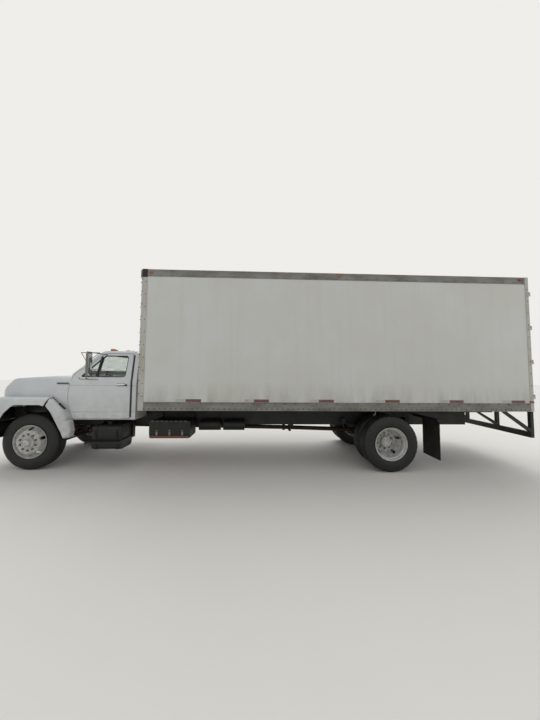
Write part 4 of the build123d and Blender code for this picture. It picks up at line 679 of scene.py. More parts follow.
wheelPlaces = {  # axles in X and Z, and in Y the tyres' middles, the discs' faces and the ends of the hubs
    "frontX": 4.280, "rearX": -2.280, "height": 0.505,
    "frontY": 0.865, "rearOuterY": 1.090, "rearInnerY": 0.760,
    "frontDiscY": 1.015, "rearDiscY": 0.936, "frontHubY": 1.070, "rearHubY": 1.029,
}
bothSides = (("left", 1), ("right", -1))
for side, sign in bothSides:
    steered = [(wheelPlaces["frontX"], sign * wheelPlaces["frontY"], wheelPlaces["height"])]
    twins = [(wheelPlaces["rearX"], sign * wheelPlaces[key], wheelPlaces["height"])
             for key in ("rearOuterY", "rearInnerY")]
    treadTyre("frontTreadTyre_" + side, steered, "front_wheel_" + side, ["front_tyre_" + side],
              tread["frontPitch"])
    treadTyre("rearTreadTyres_" + side, twins, "rear_wheels_" + side, ["rear_tyres_" + side],
              tread["rearPitch"])
print("tyres made")


# Wheel nuts and hub bolts

nutLook = {
    "circle": 0.14288, "count": 10, "across": 0.033, "height": 0.024, "stud": 0.012,
    "hubCircle": 0.062, "hubBolts": 8, "hubBoltAcross": 0.014, "hubBoltHeight": 0.008,
}


def wheelNuts(name, end, sign, body):
    look, shape = nutLook, bmesh.new()

    def addCircle(radius, count, start, y, size):
        for number in range(count):
            angle = math.tau * (number + start) / count
            place = (wheelPlaces[end + "X"] + radius * math.cos(angle), sign * y,
                     wheelPlaces["height"] + radius * math.sin(angle))
            addBolt(shape, place, (0, sign, 0), *size)

    addCircle(look["circle"], look["count"], 0.5, wheelPlaces[end + "DiscY"],
              (look["across"], look["height"], look["stud"]))
    addCircle(look["hubCircle"], look["hubBolts"], 0, wheelPlaces[end + "HubY"],
              (look["hubBoltAcross"], look["hubBoltHeight"]))
    placePiece(name, shape, body, "zincPlate", "bare_steel")


for side, sign in bothSides:
    wheelNuts("frontWheelNuts_" + side, "front", sign, "front_wheel_" + side)
    wheelNuts("rearWheelNuts_" + side, "rear", sign, "rear_wheels_" + side)
print("wheel nuts made")


# Rivets and tape on the body

bodyLook = {
    "skinY": 1.212, "railY": 1.219, "frontX": 2.180, "backX": -4.941, "postFrontX": 2.310,
    "railLow": 1.102, "railHigh": 1.255, "topLow": 3.525, "topHigh": 3.660,
}
rivetLook = {
    "size": (0.0105, 0.005), "step": 0.192, "postStep": 0.220,  # size: radius and height
    # rows on the rails: how far they stand from the rail's edge, and how far the low rail's pairs spread
    "railDown": 0.022, "railUp": 0.034, "topUp": 0.022, "pairHalf": 0.05, "endGap": 0.05, "postEndGap": 0.1,
    # rows on the posts: ahead of the panel's front edge, across the front, and behind the panel's back edge
    "postNear": 0.028, "postFar": 0.095, "farRowUp": 0.05, "frontRowY": 1.17, "postBehind": 0.032,
}
tapeLook = {
    "height": 0.050, "thick": 0.0008, "aboveRail": 0.003,
    # where the white half starts, where the red half starts and where it ends, along X
    "places": ((1.618, 1.443, 1.170), (0.407, 0.228, -0.041), (-0.784, -0.948, -1.222),
               (-1.998, -2.174, -2.445), (-3.210, -3.387, -3.654), (-4.400, -4.576, -4.837)),
}


def evenly(start, end, step):
    count = max(1, round(abs(end - start) / step))
    return [start + (end - start) * number / count for number in range(count + 1)]


def bodyRivets():
    look, shape = rivetLook, bmesh.new()
    front, back, rail = bodyLook["frontX"], bodyLook["backX"], bodyLook["railY"]
    for sign in (1, -1):
        outward = (0, sign, 0)
        for x in evenly(front - look["endGap"], back + look["endGap"], look["step"]):
            addDome(shape, (x, sign * rail, bodyLook["railHigh"] - look["railDown"]), outward, *look["size"])
            for offset in (look["pairHalf"], -look["pairHalf"]):
                addDome(shape, (x + offset, sign * rail, bodyLook["railLow"] + look["railUp"]), outward,
                        *look["size"])
            addDome(shape, (x, sign * rail, bodyLook["topLow"] + look["topUp"]), outward, *look["size"])
        for z in evenly(bodyLook["railHigh"] + look["postEndGap"], bodyLook["topLow"] - look["postEndGap"],
                        look["postStep"]):
            addDome(shape, (front + look["postNear"], sign * rail, z), outward, *look["size"])
            addDome(shape, (front + look["postFar"], sign * rail, z + look["farRowUp"]), outward,
                    *look["size"])
            addDome(shape, (bodyLook["postFrontX"], sign * look["frontRowY"], z), (1, 0, 0), *look["size"])
            addDome(shape, (back - look["postBehind"], sign * rail, z), outward, *look["size"])
    # the rivets' dark colour is grime and painted shade
    placePiece("bodyRivets", shape, "chassis", "grimeAndShadeRivet", "rail_metal")


def bodyTape():
    look = tapeLook
    low = bodyLook["railHigh"] + look["aboveRail"]
    for tapeFinish, first, second in (("whiteTape", 0, 1), ("redTape", 1, 2)):
        shape = bmesh.new()
        for sign in (1, -1):
            for places in look["places"]:
                addBox(shape, (places[second], sign * bodyLook["skinY"], low),
                       (places[first], sign * (bodyLook["skinY"] + look["thick"]), low + look["height"]))
        placePiece(tapeFinish + "Strips", shape, "chassis", tapeFinish, "rail_metal")


bodyRivets()
bodyTape()
print("rivets and tape made")


# Painted pieces with rolled edges

def mergedShape(node):
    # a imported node's triangles joined up and its flat faces made whole, in a mesh of its own
    shape = bmesh.new()
    shape.from_mesh(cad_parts[node].data)
    bmesh.ops.remove_doubles(shape, verts=shape.verts, dist=2e-5)
    bmesh.ops.dissolve_limit(shape, angle_limit=math.radians(0.5), use_dissolve_boundaries=False,
                             verts=shape.verts, edges=shape.edges)
    return shape


# width in metres of the rounded edge that sheet metal and castings have, then body, finish and slot
rolledEdges = {
    "cab_shell": (0.004, "chassis", "cabEnamel", "white_paint"),
    "hood_shell": (0.004, "hood", "cabEnamel", "white_paint"),
    "door_left": (0.003, "cab_door_left", "cabEnamel", "white_paint"),
    "door_right": (0.003, "cab_door_right", "cabEnamel", "white_paint"),
    "fender_extensions": (0.004, "chassis", "cabEnamel", "white_paint"),
    "front_bumper": (0.005, "chassis", "chassisBlack", "white_paint"),
    "corner_posts": (0.004, "chassis", "postPaint", "rail_metal"),
    "top_rails": (0.003, "chassis", "millAluminium", "rail_metal"),
    "bottom_rails": (0.002, "chassis", "millAluminium", "rail_metal"),
    "rear_frame": (0.003, "chassis", "postPaint", "rail_metal"),
    "rear_door_left": (0.003, "cargo_door_left", "bodyPanel", "panel_white"),
    "rear_door_right": (0.003, "cargo_door_right", "bodyPanel", "panel_white"),
    "tool_box": (0.006, "chassis", "chassisBlack", "black_metal"),
    "dashboard": (0.008, "chassis", "grainedPlastic", "black_plastic"),
}
pressing = {  # grooves pressed along the doors and the pillars behind them
    "nodes": ("cab_shell", "door_left", "door_right"),
    # bottom, middle and top of each groove, in Z
    "grooves": ((1.032, 1.044, 1.060), (1.519, 1.529, 1.539)),
    # they end at an X, lie further out than a Y, and are this deep
    "front": 3.640, "outer": 0.985, "deep": 0.0085,
}


def pressGrooves(shape):
    for level in sum(pressing["grooves"], ()):
        bmesh.ops.bisect_plane(shape, geom=shape.verts[:] + shape.edges[:] + shape.faces[:], dist=1e-5,
                               plane_co=(0, 0, level), plane_no=(0, 0, 1))
    for corner in shape.verts:
        onGroove = any(abs(corner.co.z - groove[1]) < 1e-4 for groove in pressing["grooves"])
        if onGroove and corner.co.x < pressing["front"] and abs(corner.co.y) > pressing["outer"]:
            corner.co.y -= math.copysign(pressing["deep"], corner.co.y)


def rollEdges(node, width, body, finish, slotName):
    shape = mergedShape(node)
    if node in pressing["nodes"]:
        pressGrooves(shape)
    piece = placePiece(node + "_rolled", shape, body, finish, slotName, 30)
    rounding = piece.modifiers.new("rolledEdge", "BEVEL")
    rounding.width = width
    rounding.segments = 2
    rounding.limit_method = "ANGLE"
    rounding.angle_limit = math.radians(40)
    rounding.harden_normals = False
    weighted = piece.modifiers.new("evenShade", "WEIGHTED_NORMAL")
    weighted.keep_sharp = True
    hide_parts(node)


for nodeName, edgeLook in rolledEdges.items():
    rollEdges(nodeName, *edgeLook)
print("rolled edges made")


# Window seals

sealLook = {
    "bead": 0.013, "roundness": 3,
    "smallestPane": 0.03, "facing": 0.25,  # square metres, and how squarely a pane's outer face looks away
    "insideCab": (2.9, 0, 1.7), "insideDoors": (3.0, 0, 1.75),  # places that the panes look away from
}


def finishedMesh(maker):
    # the mesh that an object's curve or modifiers give, with the object itself thrown away
    bpy.context.view_layer.update()
    mesh = bpy.data.meshes.new_from_object(maker.evaluated_get(bpy.context.evaluated_depsgraph_get()))
    bpy.data.objects.remove(maker)
    return mesh


def holderOf(name, data):
    holder = bpy.data.objects.new(name, data)
    bpy.context.scene.collection.objects.link(holder)
    return holder


def sealRound(name, node, body, inside):
    # a rubber bead that runs round the outer face of every pane in a node
    panes = mergedShape(node)
    bmesh.ops.dissolve_limit(panes, angle_limit=math.radians(8), use_dissolve_boundaries=False,
                             verts=panes.verts, edges=panes.edges)
    curve = bpy.data.curves.new(name, "CURVE")
    curve.dimensions = "3D"
    curve.bevel_depth = sealLook["bead"]
    curve.bevel_resolution = sealLook["roundness"]
    for face in panes.faces:
        outward = face.normal.dot((face.calc_center_median() - Vector(inside)).normalized())
        if face.calc_area() < sealLook["smallestPane"] or outward < sealLook["facing"]:
            continue
        line = curve.splines.new("POLY")
        corners = [loop.vert.co.copy() for loop in face.loops]
        line.points.add(len(corners) - 1)
        for point, corner in zip(line.points, corners):
            point.co = (*corner, 1)
        line.use_cyclic_u = True
    panes.free()
    shape = bmesh.new()
    shape.from_mesh(finishedMesh(holderOf(name, curve)))
    placePiece(name, shape, body, "sealRubber", "soft_rubber", 60)


sealRound("windshieldSeals", "cab_glass", "chassis", sealLook["insideCab"])
for side, sign in bothSides:
    sealRound("doorGlassSeal_" + side, "door_glass_" + side, "cab_door_" + side, sealLook["insideDoors"])
print("window seals made")


# Spring clamps

clampLook = {
    # axle X, spring Y, top of the leaves, underside of the axle, reach along X to each side of the axle
    "front": (4.280, 0.394, 0.515, 0.352, 0.052), "rear": (-2.280, 0.510, 0.690, 0.430, 0.078),
    "rod": 0.008, "leafHalf": 0.038, "plate": 0.012, "below": 0.030, "nut": (0.026, 0.018),
    # how far the top and the bottom plate stand past the rods, along X and Y
    "topMargin": (0.018, 0.004), "bottomMargin": (0.02, 0.012), "plateEdge": 0.003,
}


def springClamps():
    # U-bolts over each spring with a plate under the bow, and the bottom plate that their nuts pull up
    look, shape = clampLook, bmesh.new()
    rod, plate = look["rod"], look["plate"]
    for axle in ("front", "rear"):
        x, y, top, low, reach = look[axle]
        bow = top + plate + rod
        for sign in (1, -1):
            near, far = sign * y - look["leafHalf"] - rod, sign * y + look["leafHalf"] + rod
            for boltX in (x - reach, x + reach):
                for boltY in (near, far):
                    addRod(shape, (boltX, boltY, low - look["below"]), (boltX, boltY, bow), rod, sides=10)
                    addBolt(shape, (boltX, boltY, low - plate), (0, 0, -1), *look["nut"])
                addRod(shape, (boltX, near, bow), (boltX, far, bow), rod, sides=10)
            for bottom, (marginX, marginY) in ((top, look["topMargin"]), (low - plate, look["bottomMargin"])):
                addBox(shape, (x - reach - marginX, near - marginY, bottom),
                       (x + reach + marginX, far + marginY, bottom + plate), look["plateEdge"])
    placePiece("springClamps", shape, "chassis", "rustedSteel", "bare_steel")


springClamps()
print("spring clamps made")


# Splash shields beside the radiator and under the wheel houses

shieldLook = {  # corners (X, Z) of rubber sheets, and the strip that holds each: its X range, foot and top
    "radiator": {
        "corners": ((4.360, 0.790), (4.985, 0.790), (4.985, 0.900), (4.890, 0.935), (4.860, 1.060),
                    (4.360, 1.060)),
        "y": 0.456, "strip": (4.380, 4.960, 0.800, 0.828), "body": "chassis"},
    "house": {
        "corners": ((4.670, 1.104), (4.670, 0.930), (4.700, 0.874), (4.885, 0.874), (4.885, 1.104)),
        "y": 0.633, "strip": (4.690, 4.875, 1.070, 1.094), "body": "hood"},
}
sheetLook = {"sheet": 0.005, "strip": 0.003, "boltStep": 0.15, "boltFromEnd": 0.03, "bolt": (0.013, 0.007)}


def splashShields(name, look):
    sheet, strip = bmesh.new(), bmesh.new()
    low, high, bottom, top = look["strip"]
    held = look["y"] + sheetLook["sheet"]
    proud = held + sheetLook["strip"]
    for sign in (1, -1):
        corners = [sheet.verts.new((x, sign * look["y"], z)) for x, z in look["corners"]]
        pressed = bmesh.ops.extrude_face_region(sheet, geom=[sheet.faces.new(corners)])["geom"]
        bmesh.ops.translate(sheet, vec=(0, sign * sheetLook["sheet"], 0),
                            verts=[part for part in pressed if isinstance(part, bmesh.types.BMVert)])
        addBox(strip, (low, sign * held, bottom), (high, sign * proud, top), 0.001)
        fromEnd = sheetLook["boltFromEnd"]
        for x in evenly(low + fromEnd, high - fromEnd, sheetLook["boltStep"]):
            addBolt(strip, (x, sign * proud, (bottom + top) / 2), (0, sign, 0), *sheetLook["bolt"])
    bmesh.ops.recalc_face_normals(sheet, faces=sheet.faces)
    placePiece(name + "Shields", sheet, look["body"], "flapRubber", "soft_rubber")
    placePiece(name + "ShieldStrips", strip, look["body"], "chassisBlack", "black_metal")


for shieldName, shield in shieldLook.items():
    splashShields(shieldName, shield)
print("splash shields made")


# Corner caps, hook, and the rear doors' edging and catches

capLook = {
    # the legs' height, reach, sheet and edge, and how far each keeps from the corner
    "height": 0.150, "wrap": 0.130, "thick": 0.004, "bevel": 0.0015, "clear": 0.035,
    # rivets: down from the top, back from the front, radius and height
    "rivetDown": (0.035, 0.115), "rivetBack": (0.115, 0.060), "rivet": (0.007, 0.003),
}


def cornerCaps():
    # pressed caps over the front corner posts' top ends, one leg along the side and one across the front
    look, shape = capLook, bmesh.new()
    top, thick = bodyLook["topHigh"], look["thick"]
    front, side = bodyLook["postFrontX"], bodyLook["railY"]
    for sign in (1, -1):
        addBox(shape, (front - look["wrap"], sign * side, top - look["height"]),
               (front - look["clear"], sign * (side + thick), top), look["bevel"])
        addBox(shape, (front, sign * (side - look["wrap"]), top - look["height"]),
               (front + thick, sign * (side - look["clear"]), top), look["bevel"])
        for down in look["rivetDown"]:
            for back in look["rivetBack"]:
                place = (front - back, sign * (side + thick), top - down)
                addDome(shape, place, (0, sign, 0), *look["rivet"])
    placePiece("cornerCaps", shape, "chassis", "chassisBlack", "black_metal")


hookLook = {
    "x": -1.990, "fromEdge": 0.012, "rod": 0.005,
    # its bends, from where it leaves the rail's underside
    "bends": ((0, 0, 0.012), (0, 0, -0.045), (0.012, 0.006, -0.064), (0.030, 0.006, -0.068),
              (0.044, 0, -0.054)),
}


def tieHook():
    # a bent rod hook under the left rail, where a load rope is tied off
    look, shape = hookLook, bmesh.new()
    place = Vector((look["x"], bodyLook["railY"] - look["fromEdge"], bodyLook["railLow"]))
    addBentRod(shape, [place + Vector(bend) for bend in look["bends"]], look["rod"], 8)
    placePiece("tieHook", shape, "chassis", "zincPlate", "rail_metal")


leafLook = {
    # one rear door leaf: its outer face, its edges in Y and Z, and its rubber edging
    "backX": -5.005, "inner": 0.003, "outer": 1.129, "low": 1.246, "high": 3.504,
    "edging": 0.020, "edgingThick": 0.004, "edgingBevel": 0.0015,
}
catchLook = {
    # the lock rods' Y, their handles' far face and underside, and how far from the rod a catch stands
    "rodY": (0.3387, 0.8355), "handleX": -5.062, "handleLow": 1.988, "away": 0.262,
    "half": 0.020, "plate": 0.004, "plateDown": 0.070, "lipUp": 0.012, "gap": 0.001, "lipGap": 0.0005,
    "boltDown": (0.026, 0.052), "bolt": (0.013, 0.006),
}


def leafEdging(side, sign):
    look, shape = leafLook, bmesh.new()
    inner, outer, low, high, wide = look["inner"], look["outer"], look["low"], look["high"], look["edging"]
    for near, bottom, far, top in ((inner, low, inner + wide, high), (outer - wide, low, outer, high),
                                   (inner + wide, low, outer - wide, low + wide),
                                   (inner + wide, high - wide, outer - wide, high)):
        addBox(shape, (look["backX"] - look["edgingThick"], sign * near, bottom),
               (look["backX"] + rooted, sign * far, top), look["edgingBevel"])
    placePiece("leafEdging_" + side, shape, "cargo_door_" + side, "sealRubber", "soft_rubber")


def handleCatches(side, sign):
    # a bent steel catch with two bolts under each lock handle
    look, shape = catchLook, bmesh.new()
    face, plate = leafLook["backX"], look["plate"]
    under = look["handleLow"] - look["gap"]
    shelf = under - plate
    lipX, lipTop = look["handleX"] - plate, look["handleLow"] + look["lipUp"]
    for rodY in look["rodY"]:
        middle = rodY - look["away"]
        near, far = sign * (middle - look["half"]), sign * (middle + look["half"])
        for first, last in (
                ((face - plate, near, look["handleLow"] - look["plateDown"]), (face + rooted, far, under)),
                ((lipX, near, shelf), (face, far, under)),
                ((lipX, near, shelf), (look["handleX"] - look["lipGap"], far, lipTop))):
            addBox(shape, first, last, 0.001)
        for down in look["boltDown"]:
            addBolt(shape, (face - plate, sign * middle, look["handleLow"] - down), (-1, 0, 0), *look["bolt"])
    placePiece("handleCatch_" + side, shape, "cargo_door_" + side, "zincPlate", "rail_metal")


cornerCaps()
tieHook()
for side, sign in bothSides:
    leafEdging(side, sign)
    handleCatches(side, sign)
print("body fittings made")


# Mirrors

mirrorLook = {
    "headX": 3.120, "headY": 1.262, "low": 1.708, "high": 2.112, "halfWidth": 0.066, "turn": 8,  # degrees
    "glassHalf": 0.002, "glassBehind": 0.0212, "frame": 0.009, "tubeX": 3.155,
    "boltFromEnd": 0.06, "boltAhead": 0.008, "bolt": (0.013, 0.007),
    # thin braces and thicker bars: where the two braces leave the upper bar, X and Y, and meet the tube, Z
    "brace": 0.0055, "bar": 0.0066, "braceFrom": ((3.288, 1.218), (2.972, 1.205)), "braceTop": 2.120,
    "braceMeet": 1.950,
    # the link from the tube's top to the upper bar: down from the bar, back from the tube, and Y at the bar
    "linkDown": 0.012, "linkBack": 0.02, "linkY": 1.21,
    # the lower bar, bent up at its front end
    "lowerBar": ((3.318, 1.210, 1.682), (3.304, 1.210, 1.660), (3.284, 1.210, 1.650), (2.985, 1.206, 1.650)),
}


def mirrorGlass(side, sign):
    look, shape = mirrorLook, bmesh.new()
    middle = Vector((look["headX"], sign * look["headY"], (look["low"] + look["high"]) / 2))
    half = (look["high"] - look["low"]) / 2 - look["frame"]
    made = addBox(shape, (-look["glassHalf"], -look["halfWidth"], -half),
                  (look["glassHalf"], look["halfWidth"], half), 0.0015)
    bmesh.ops.translate(shape, vec=(-look["glassBehind"], 0, 0), verts=made)
    turn = Matrix.Rotation(sign * math.radians(look["turn"]), 3, "Z")
    bmesh.ops.rotate(shape, cent=(0, 0, 0), matrix=turn, verts=shape.verts)
    bmesh.ops.translate(shape, vec=middle, verts=shape.verts)
    placePiece("mirrorGlass_" + side, shape, "cab_door_" + side, "mirrorGlass", "chrome_trim")


def mirrorBraces(side, sign):
    look, shape = mirrorLook, bmesh.new()
    tubeX, tubeY, top = look["tubeX"], sign * look["headY"], look["braceTop"]
    ends = [(x, sign * y, top) for x, y in look["braceFrom"]]
    for end in ends:
        addRod(shape, (tubeX, tubeY, look["braceMeet"]), end, look["brace"], sides=8)
    # the upper bar carries the braces' upper ends
    addRod(shape, *ends, look["bar"], sides=8)
    addRod(shape, (tubeX, tubeY, top - look["linkDown"]),
           (tubeX - look["linkBack"], sign * look["linkY"], top), look["bar"], sides=8)
    addBentRod(shape, [(x, sign * y, z) for x, y, z in look["lowerBar"]], look["bar"], 8)
    for z in (look["low"] + look["boltFromEnd"], look["high"] - look["boltFromEnd"]):
        addBolt(shape, (tubeX + look["boltAhead"], tubeY, z), (1, 0, 0), *look["bolt"])
    placePiece("mirrorBraces_" + side, shape, "cab_door_" + side, "millAluminium", "chrome_trim")


for side, sign in bothSides:
    mirrorGlass(side, sign)
    mirrorBraces(side, sign)
print("mirrors made")


# Strips that follow a panel

class Skin:
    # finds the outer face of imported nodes, looking in from one side
    def __init__(self, *nodes):
        self.trees = []
        for node in nodes:
            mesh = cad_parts[node].data
            self.trees.append(BVHTree.FromPolygons([corner.co for corner in mesh.vertices],
                                                   [face.vertices for face in mesh.polygons]))

    def hit(self, start, toward):
        # the first face met, as its place and the direction that it faces
        best = None
        for tree in self.trees:
            place, normal, _, distance = tree.ray_cast(Vector(start), Vector(toward))
            if place is not None and (best is None or distance < best[2]):
                best = (place, normal if normal.dot(Vector(toward)) < 0 else -normal, distance)
        if best is None:
            raise ValueError("no face met from " + str(tuple(start)))
        return best[0], best[1]


def addStrip(shape, line, width, thick, sink=rooted, crown=0.3):
    # a moulding laid along (place, outward) pairs: flat underneath, its outer edges narrowed by crown
    rings = []
    for number, (place, outward) in enumerate(line):
        ahead = line[min(number + 1, len(line) - 1)][0] - line[max(number - 1, 0)][0]
        across = ahead.cross(outward).normalized()
        outward = across.cross(ahead).normalized()
        half, narrow = width / 2, width / 2 - thick * crown
        section = ((-half, -sink), (half, -sink), (half, thick * 0.5),
                   (narrow, thick), (-narrow, thick), (-half, thick * 0.5))
        rings.append([shape.verts.new(place + across * aside + outward * up) for aside, up in section])
    faces = []
    for ring, onward in zip(rings, rings[1:]):
        for index in range(len(ring)):
            following = (index + 1) % len(ring)
            faces.append(shape.faces.new((ring[index], ring[following], onward[following], onward[index])))
    faces.append(shape.faces.new(rings[0]))
    faces.append(shape.faces.new(rings[-1][::-1]))
    bmesh.ops.recalc_face_normals(shape, faces=faces)


besideTruck, aheadOfTruck = 1.6, 5.3  # Y and X from which a face is looked up


def onSide(skin, sign, places):
    # (X, Z) places looked up on the outer face of one side
    return [skin.hit((x, sign * besideTruck, z), (0, -sign, 0)) for x, z in places]


def onNose(skin, sign, places):
    # (Y, Z) places looked up from ahead
    return [skin.hit((aheadOfTruck, sign * y, z), (-1, 0, 0)) for y, z in places]


def spread(start, end, count):
    return [tuple(a + (b - a) * number / count for a, b in zip(start, end)) for number in range(count + 1)]


cabTrim = {  # strips: where each starts and ends, X and Z, then its width and thickness
    "doorRearSeal_": ((2.5005, 0.955), (2.5005, 2.150), 0.026, 0.002),
    "hoodTrimStrip_": ((3.905, 1.568), (3.690, 1.570), 0.020, 0.004),
    "ventBar_": ((3.150, 1.690), (3.096, 2.078), 0.034, 0.006),
}
strapLook = {
    # the hood's rubber strap: X, Y and Z of its two hooks and the way that the slope under it faces
    "from": (3.741, 1.054, 1.195), "to": (3.655, 1.046, 1.109), "slope": (-0.70, 0, 0.71),
    "width": 0.044, "thick": 0.014, "sink": 0.002, "crown": 0.4,
    # the hooks' rubber eyes: foot, top, and their radii
    "eyeFoot": 0.004, "eyeTop": 0.022, "eye": (0.017, 0.014),
    # the rubber lip on the fender extension, X, Y and Z from the hood down to the strap
    "lip": ((3.862, 1.028, 1.292), (3.829, 1.031, 1.267), (3.791, 1.036, 1.237), (3.744, 1.052, 1.198)),
    "lipRadius": 0.008,
}


def cabStrips(side, sign):
    # the seal behind the door, the dark strip on the hood, and the bar between vent pane and window
    rubber, plastic = ("sealRubber", "soft_rubber"), ("grainedPlastic", "black_plastic")
    for name, nodes, steps, body, finish in (
            ("doorRearSeal_", ["cab_shell"], 20, "chassis", rubber),
            ("hoodTrimStrip_", ["hood_shell"], 8, "hood", plastic),
            ("ventBar_", ["door_" + side, "door_glass_" + side], 6, "cab_door_" + side, rubber)):
        start, end, width, thick = cabTrim[name]
        shape = bmesh.new()
        addStrip(shape, onSide(Skin(*nodes), sign, spread(start, end, steps)), width, thick)
        placePiece(name + side, shape, body, *finish)


def hoodStrap(side, sign):
    # the hood's hold-down strap, pulled straight between its two hooks, and the lip above it
    look, shape = strapLook, bmesh.new()
    slope = Vector(look["slope"]).normalized()
    line = [(Vector((x, sign * y, z)), slope) for x, y, z in spread(look["from"], look["to"], 4)]
    addStrip(shape, line, look["width"], look["thick"], look["sink"], look["crown"])
    for place, away in (line[0], line[-1]):
        addRod(shape, place - away * look["eyeFoot"], place + away * look["eyeTop"], *look["eye"], 14)
    addBentRod(shape, [Vector((x, sign * y, z)) for x, y, z in look["lip"]], look["lipRadius"], 10)
    placePiece("hoodStrap_" + side, shape, "chassis", "sealRubber", "soft_rubber")


handleLook = {
    # X and Z ranges of the pull, its plate and the button; in Y, the door's face and how far each stands out
    "pull": (2.632, 2.765, 1.535, 1.571), "pullOut": 0.038, "plate": (2.628, 2.770, 1.530, 1.576),
    "plateOut": 0.008, "button": (2.582, 2.624, 1.524, 1.556), "buttonOut": 0.016,
    "doorY": 0.996, "sunk": 0.004,
    # the key lock: X and Z, depth range behind the face, radii there, and the key slot's half sizes
    "lock": (2.640, 1.462), "lockDeep": (0.010, 0.002), "lockEnds": (0.013, 0.01105),
    "slot": (0.002, 0.001, 0.007),
}


def doorHandles(side, sign):
    # a plated pull on its dark plate, with the push button behind it and a key lock under it
    look = handleLook

    def addPad(shape, key, inward, outward, bevel, segments):
        back, front, low, high = look[key]
        addBox(shape, (back, sign * (look["doorY"] - inward), low),
               (front, sign * (look["doorY"] + outward), high), bevel, segments)

    shape = bmesh.new()
    addPad(shape, "pull", 0, look["pullOut"], 0.009, 3)
    placePiece("doorHandle_" + side, shape, "cab_door_" + side, "chromePlate", "chrome_trim")
    shape = bmesh.new()
    addPad(shape, "plate", look["sunk"], look["plateOut"], 0.003, 2)
    addPad(shape, "button", look["sunk"], look["buttonOut"], 0.006, 3)
    placePiece("doorButton_" + side, shape, "cab_door_" + side, "grainedPlastic", "black_plastic")
    shape = bmesh.new()
    place, outward = onSide(Skin("door_" + side), sign, [look["lock"]])[0]
    deep, shallow = look["lockDeep"]
    addRod(shape, place - outward * deep, place - outward * shallow, *look["lockEnds"], 20)
    addBox(shape, place - Vector(look["slot"]), place + Vector(look["slot"]), 0.0004)
    placePiece("doorLock_" + side, shape, "cab_door_" + side, "chromePlate", "chrome_trim")


for side, sign in bothSides:
    cabStrips(side, sign)
    hoodStrap(side, sign)
    doorHandles(side, sign)
print("cab strips and handles made")


# Tank, tool box and steps

tankLook = {
    "outer": 0.930, "high": 0.790,
    # filler cap: place, then neck, flange and cap as (foot, top, radius, top radius), and its grip ribs
    "capX": 2.96, "capY": 0.80, "turned": ((-0.004, 0.026, 0.03456, 0.03456), (0.026, 0.034, 0.048, 0.048),
                                           (0.034, 0.055, 0.048, 0.04128)),
    "ribs": 8, "ribCircle": 0.048, "ribUp": 0.044, "rib": (0.006, 0.006, 0.009),
    # the straps' T-bolts: X of each, then nut, rod and foot, each out from the tank and down from its top
    "strapX": (3.150, 2.770), "nutOut": 0.006, "nutDown": 0.12, "nut": (0.019, 0.012, 0.012),
    "rodOut": 0.012, "rodDown": (0.19, 0.08), "rod": 0.006,
    "footHalf": 0.016, "footOut": (0.004, 0.022), "footDown": (0.21, 0.19),
}


def fuelTankParts():
    look, shape = tankLook, bmesh.new()
    x, y, outer, top = look["capX"], look["capY"], look["outer"], look["high"]
    for foot, end, radius, endRadius in look["turned"]:
        addRod(shape, (x, y, top + foot), (x, y, top + end), radius, endRadius, 24)
    for number in range(look["ribs"]):  # the ribs that a hand grips round the cap
        angle = math.tau * number / look["ribs"]
        middle = Vector((x + look["ribCircle"] * math.cos(angle), y + look["ribCircle"] * math.sin(angle),
                         top + look["ribUp"]))
        addBox(shape, middle - Vector(look["rib"]), middle + Vector(look["rib"]), 0.002)
    for x in look["strapX"]:
        addBolt(shape, (x, outer + look["nutOut"], top - look["nutDown"]), (0, 1, 0), *look["nut"])
        low, high = [(x, outer + look["rodOut"], top - down) for down in look["rodDown"]]
        addRod(shape, low, high, look["rod"], sides=8)
        (near, far), (low, high) = look["footOut"], look["footDown"]
        addBox(shape, (x - look["footHalf"], outer + near, top - low),
               (x + look["footHalf"], outer + far, top - high), 0.003)
    placePiece("fuelTankFittings", shape, "chassis", "chassisBlack", "bare_steel")


boxLook = {
    "front": 2.190, "back": 1.435, "outer": 0.911, "low": 0.556, "high": 0.864,
    "latchFromEnd": 0.14, "latchStep": 0.24, "latchUp": 0.075,
    # a latch's plates, each as half width, then out from the box's face and up from the latch, from and to
    "latch": ((0.018, -0.008, 0.003, -0.030, 0.040, 0.002), (0.013, 0.003, 0.014, -0.024, 0.018, 0.003),
              (0.015, -0.001, 0.010, 0.060, 0.072, 0.002)),
    # its wire: offset to each side, then out and up at its foot and at its top, and its radius
    "wireHalf": 0.011, "wireFoot": (0.009, 0.012), "wireTop": (0.007, 0.064), "wire": 0.0022,
    # the hinge's knuckles along the lid's top edge
    "knuckleFromEnd": 0.03, "knuckleStep": 0.09, "knuckleLong": 0.055, "knuckleIn": 0.002, "knuckleUp": 0.004,
    "knuckle": 0.007,
    # the angle iron under the box: from its ends, its inner edge and the two legs
    "ironFromEnd": 0.02, "ironInner": 0.47, "ironThick": 0.0055, "ironGap": 0.0005, "ironSplit": 0.0125,
    "ironOut": 0.0045, "ironUp": 0.036,
}


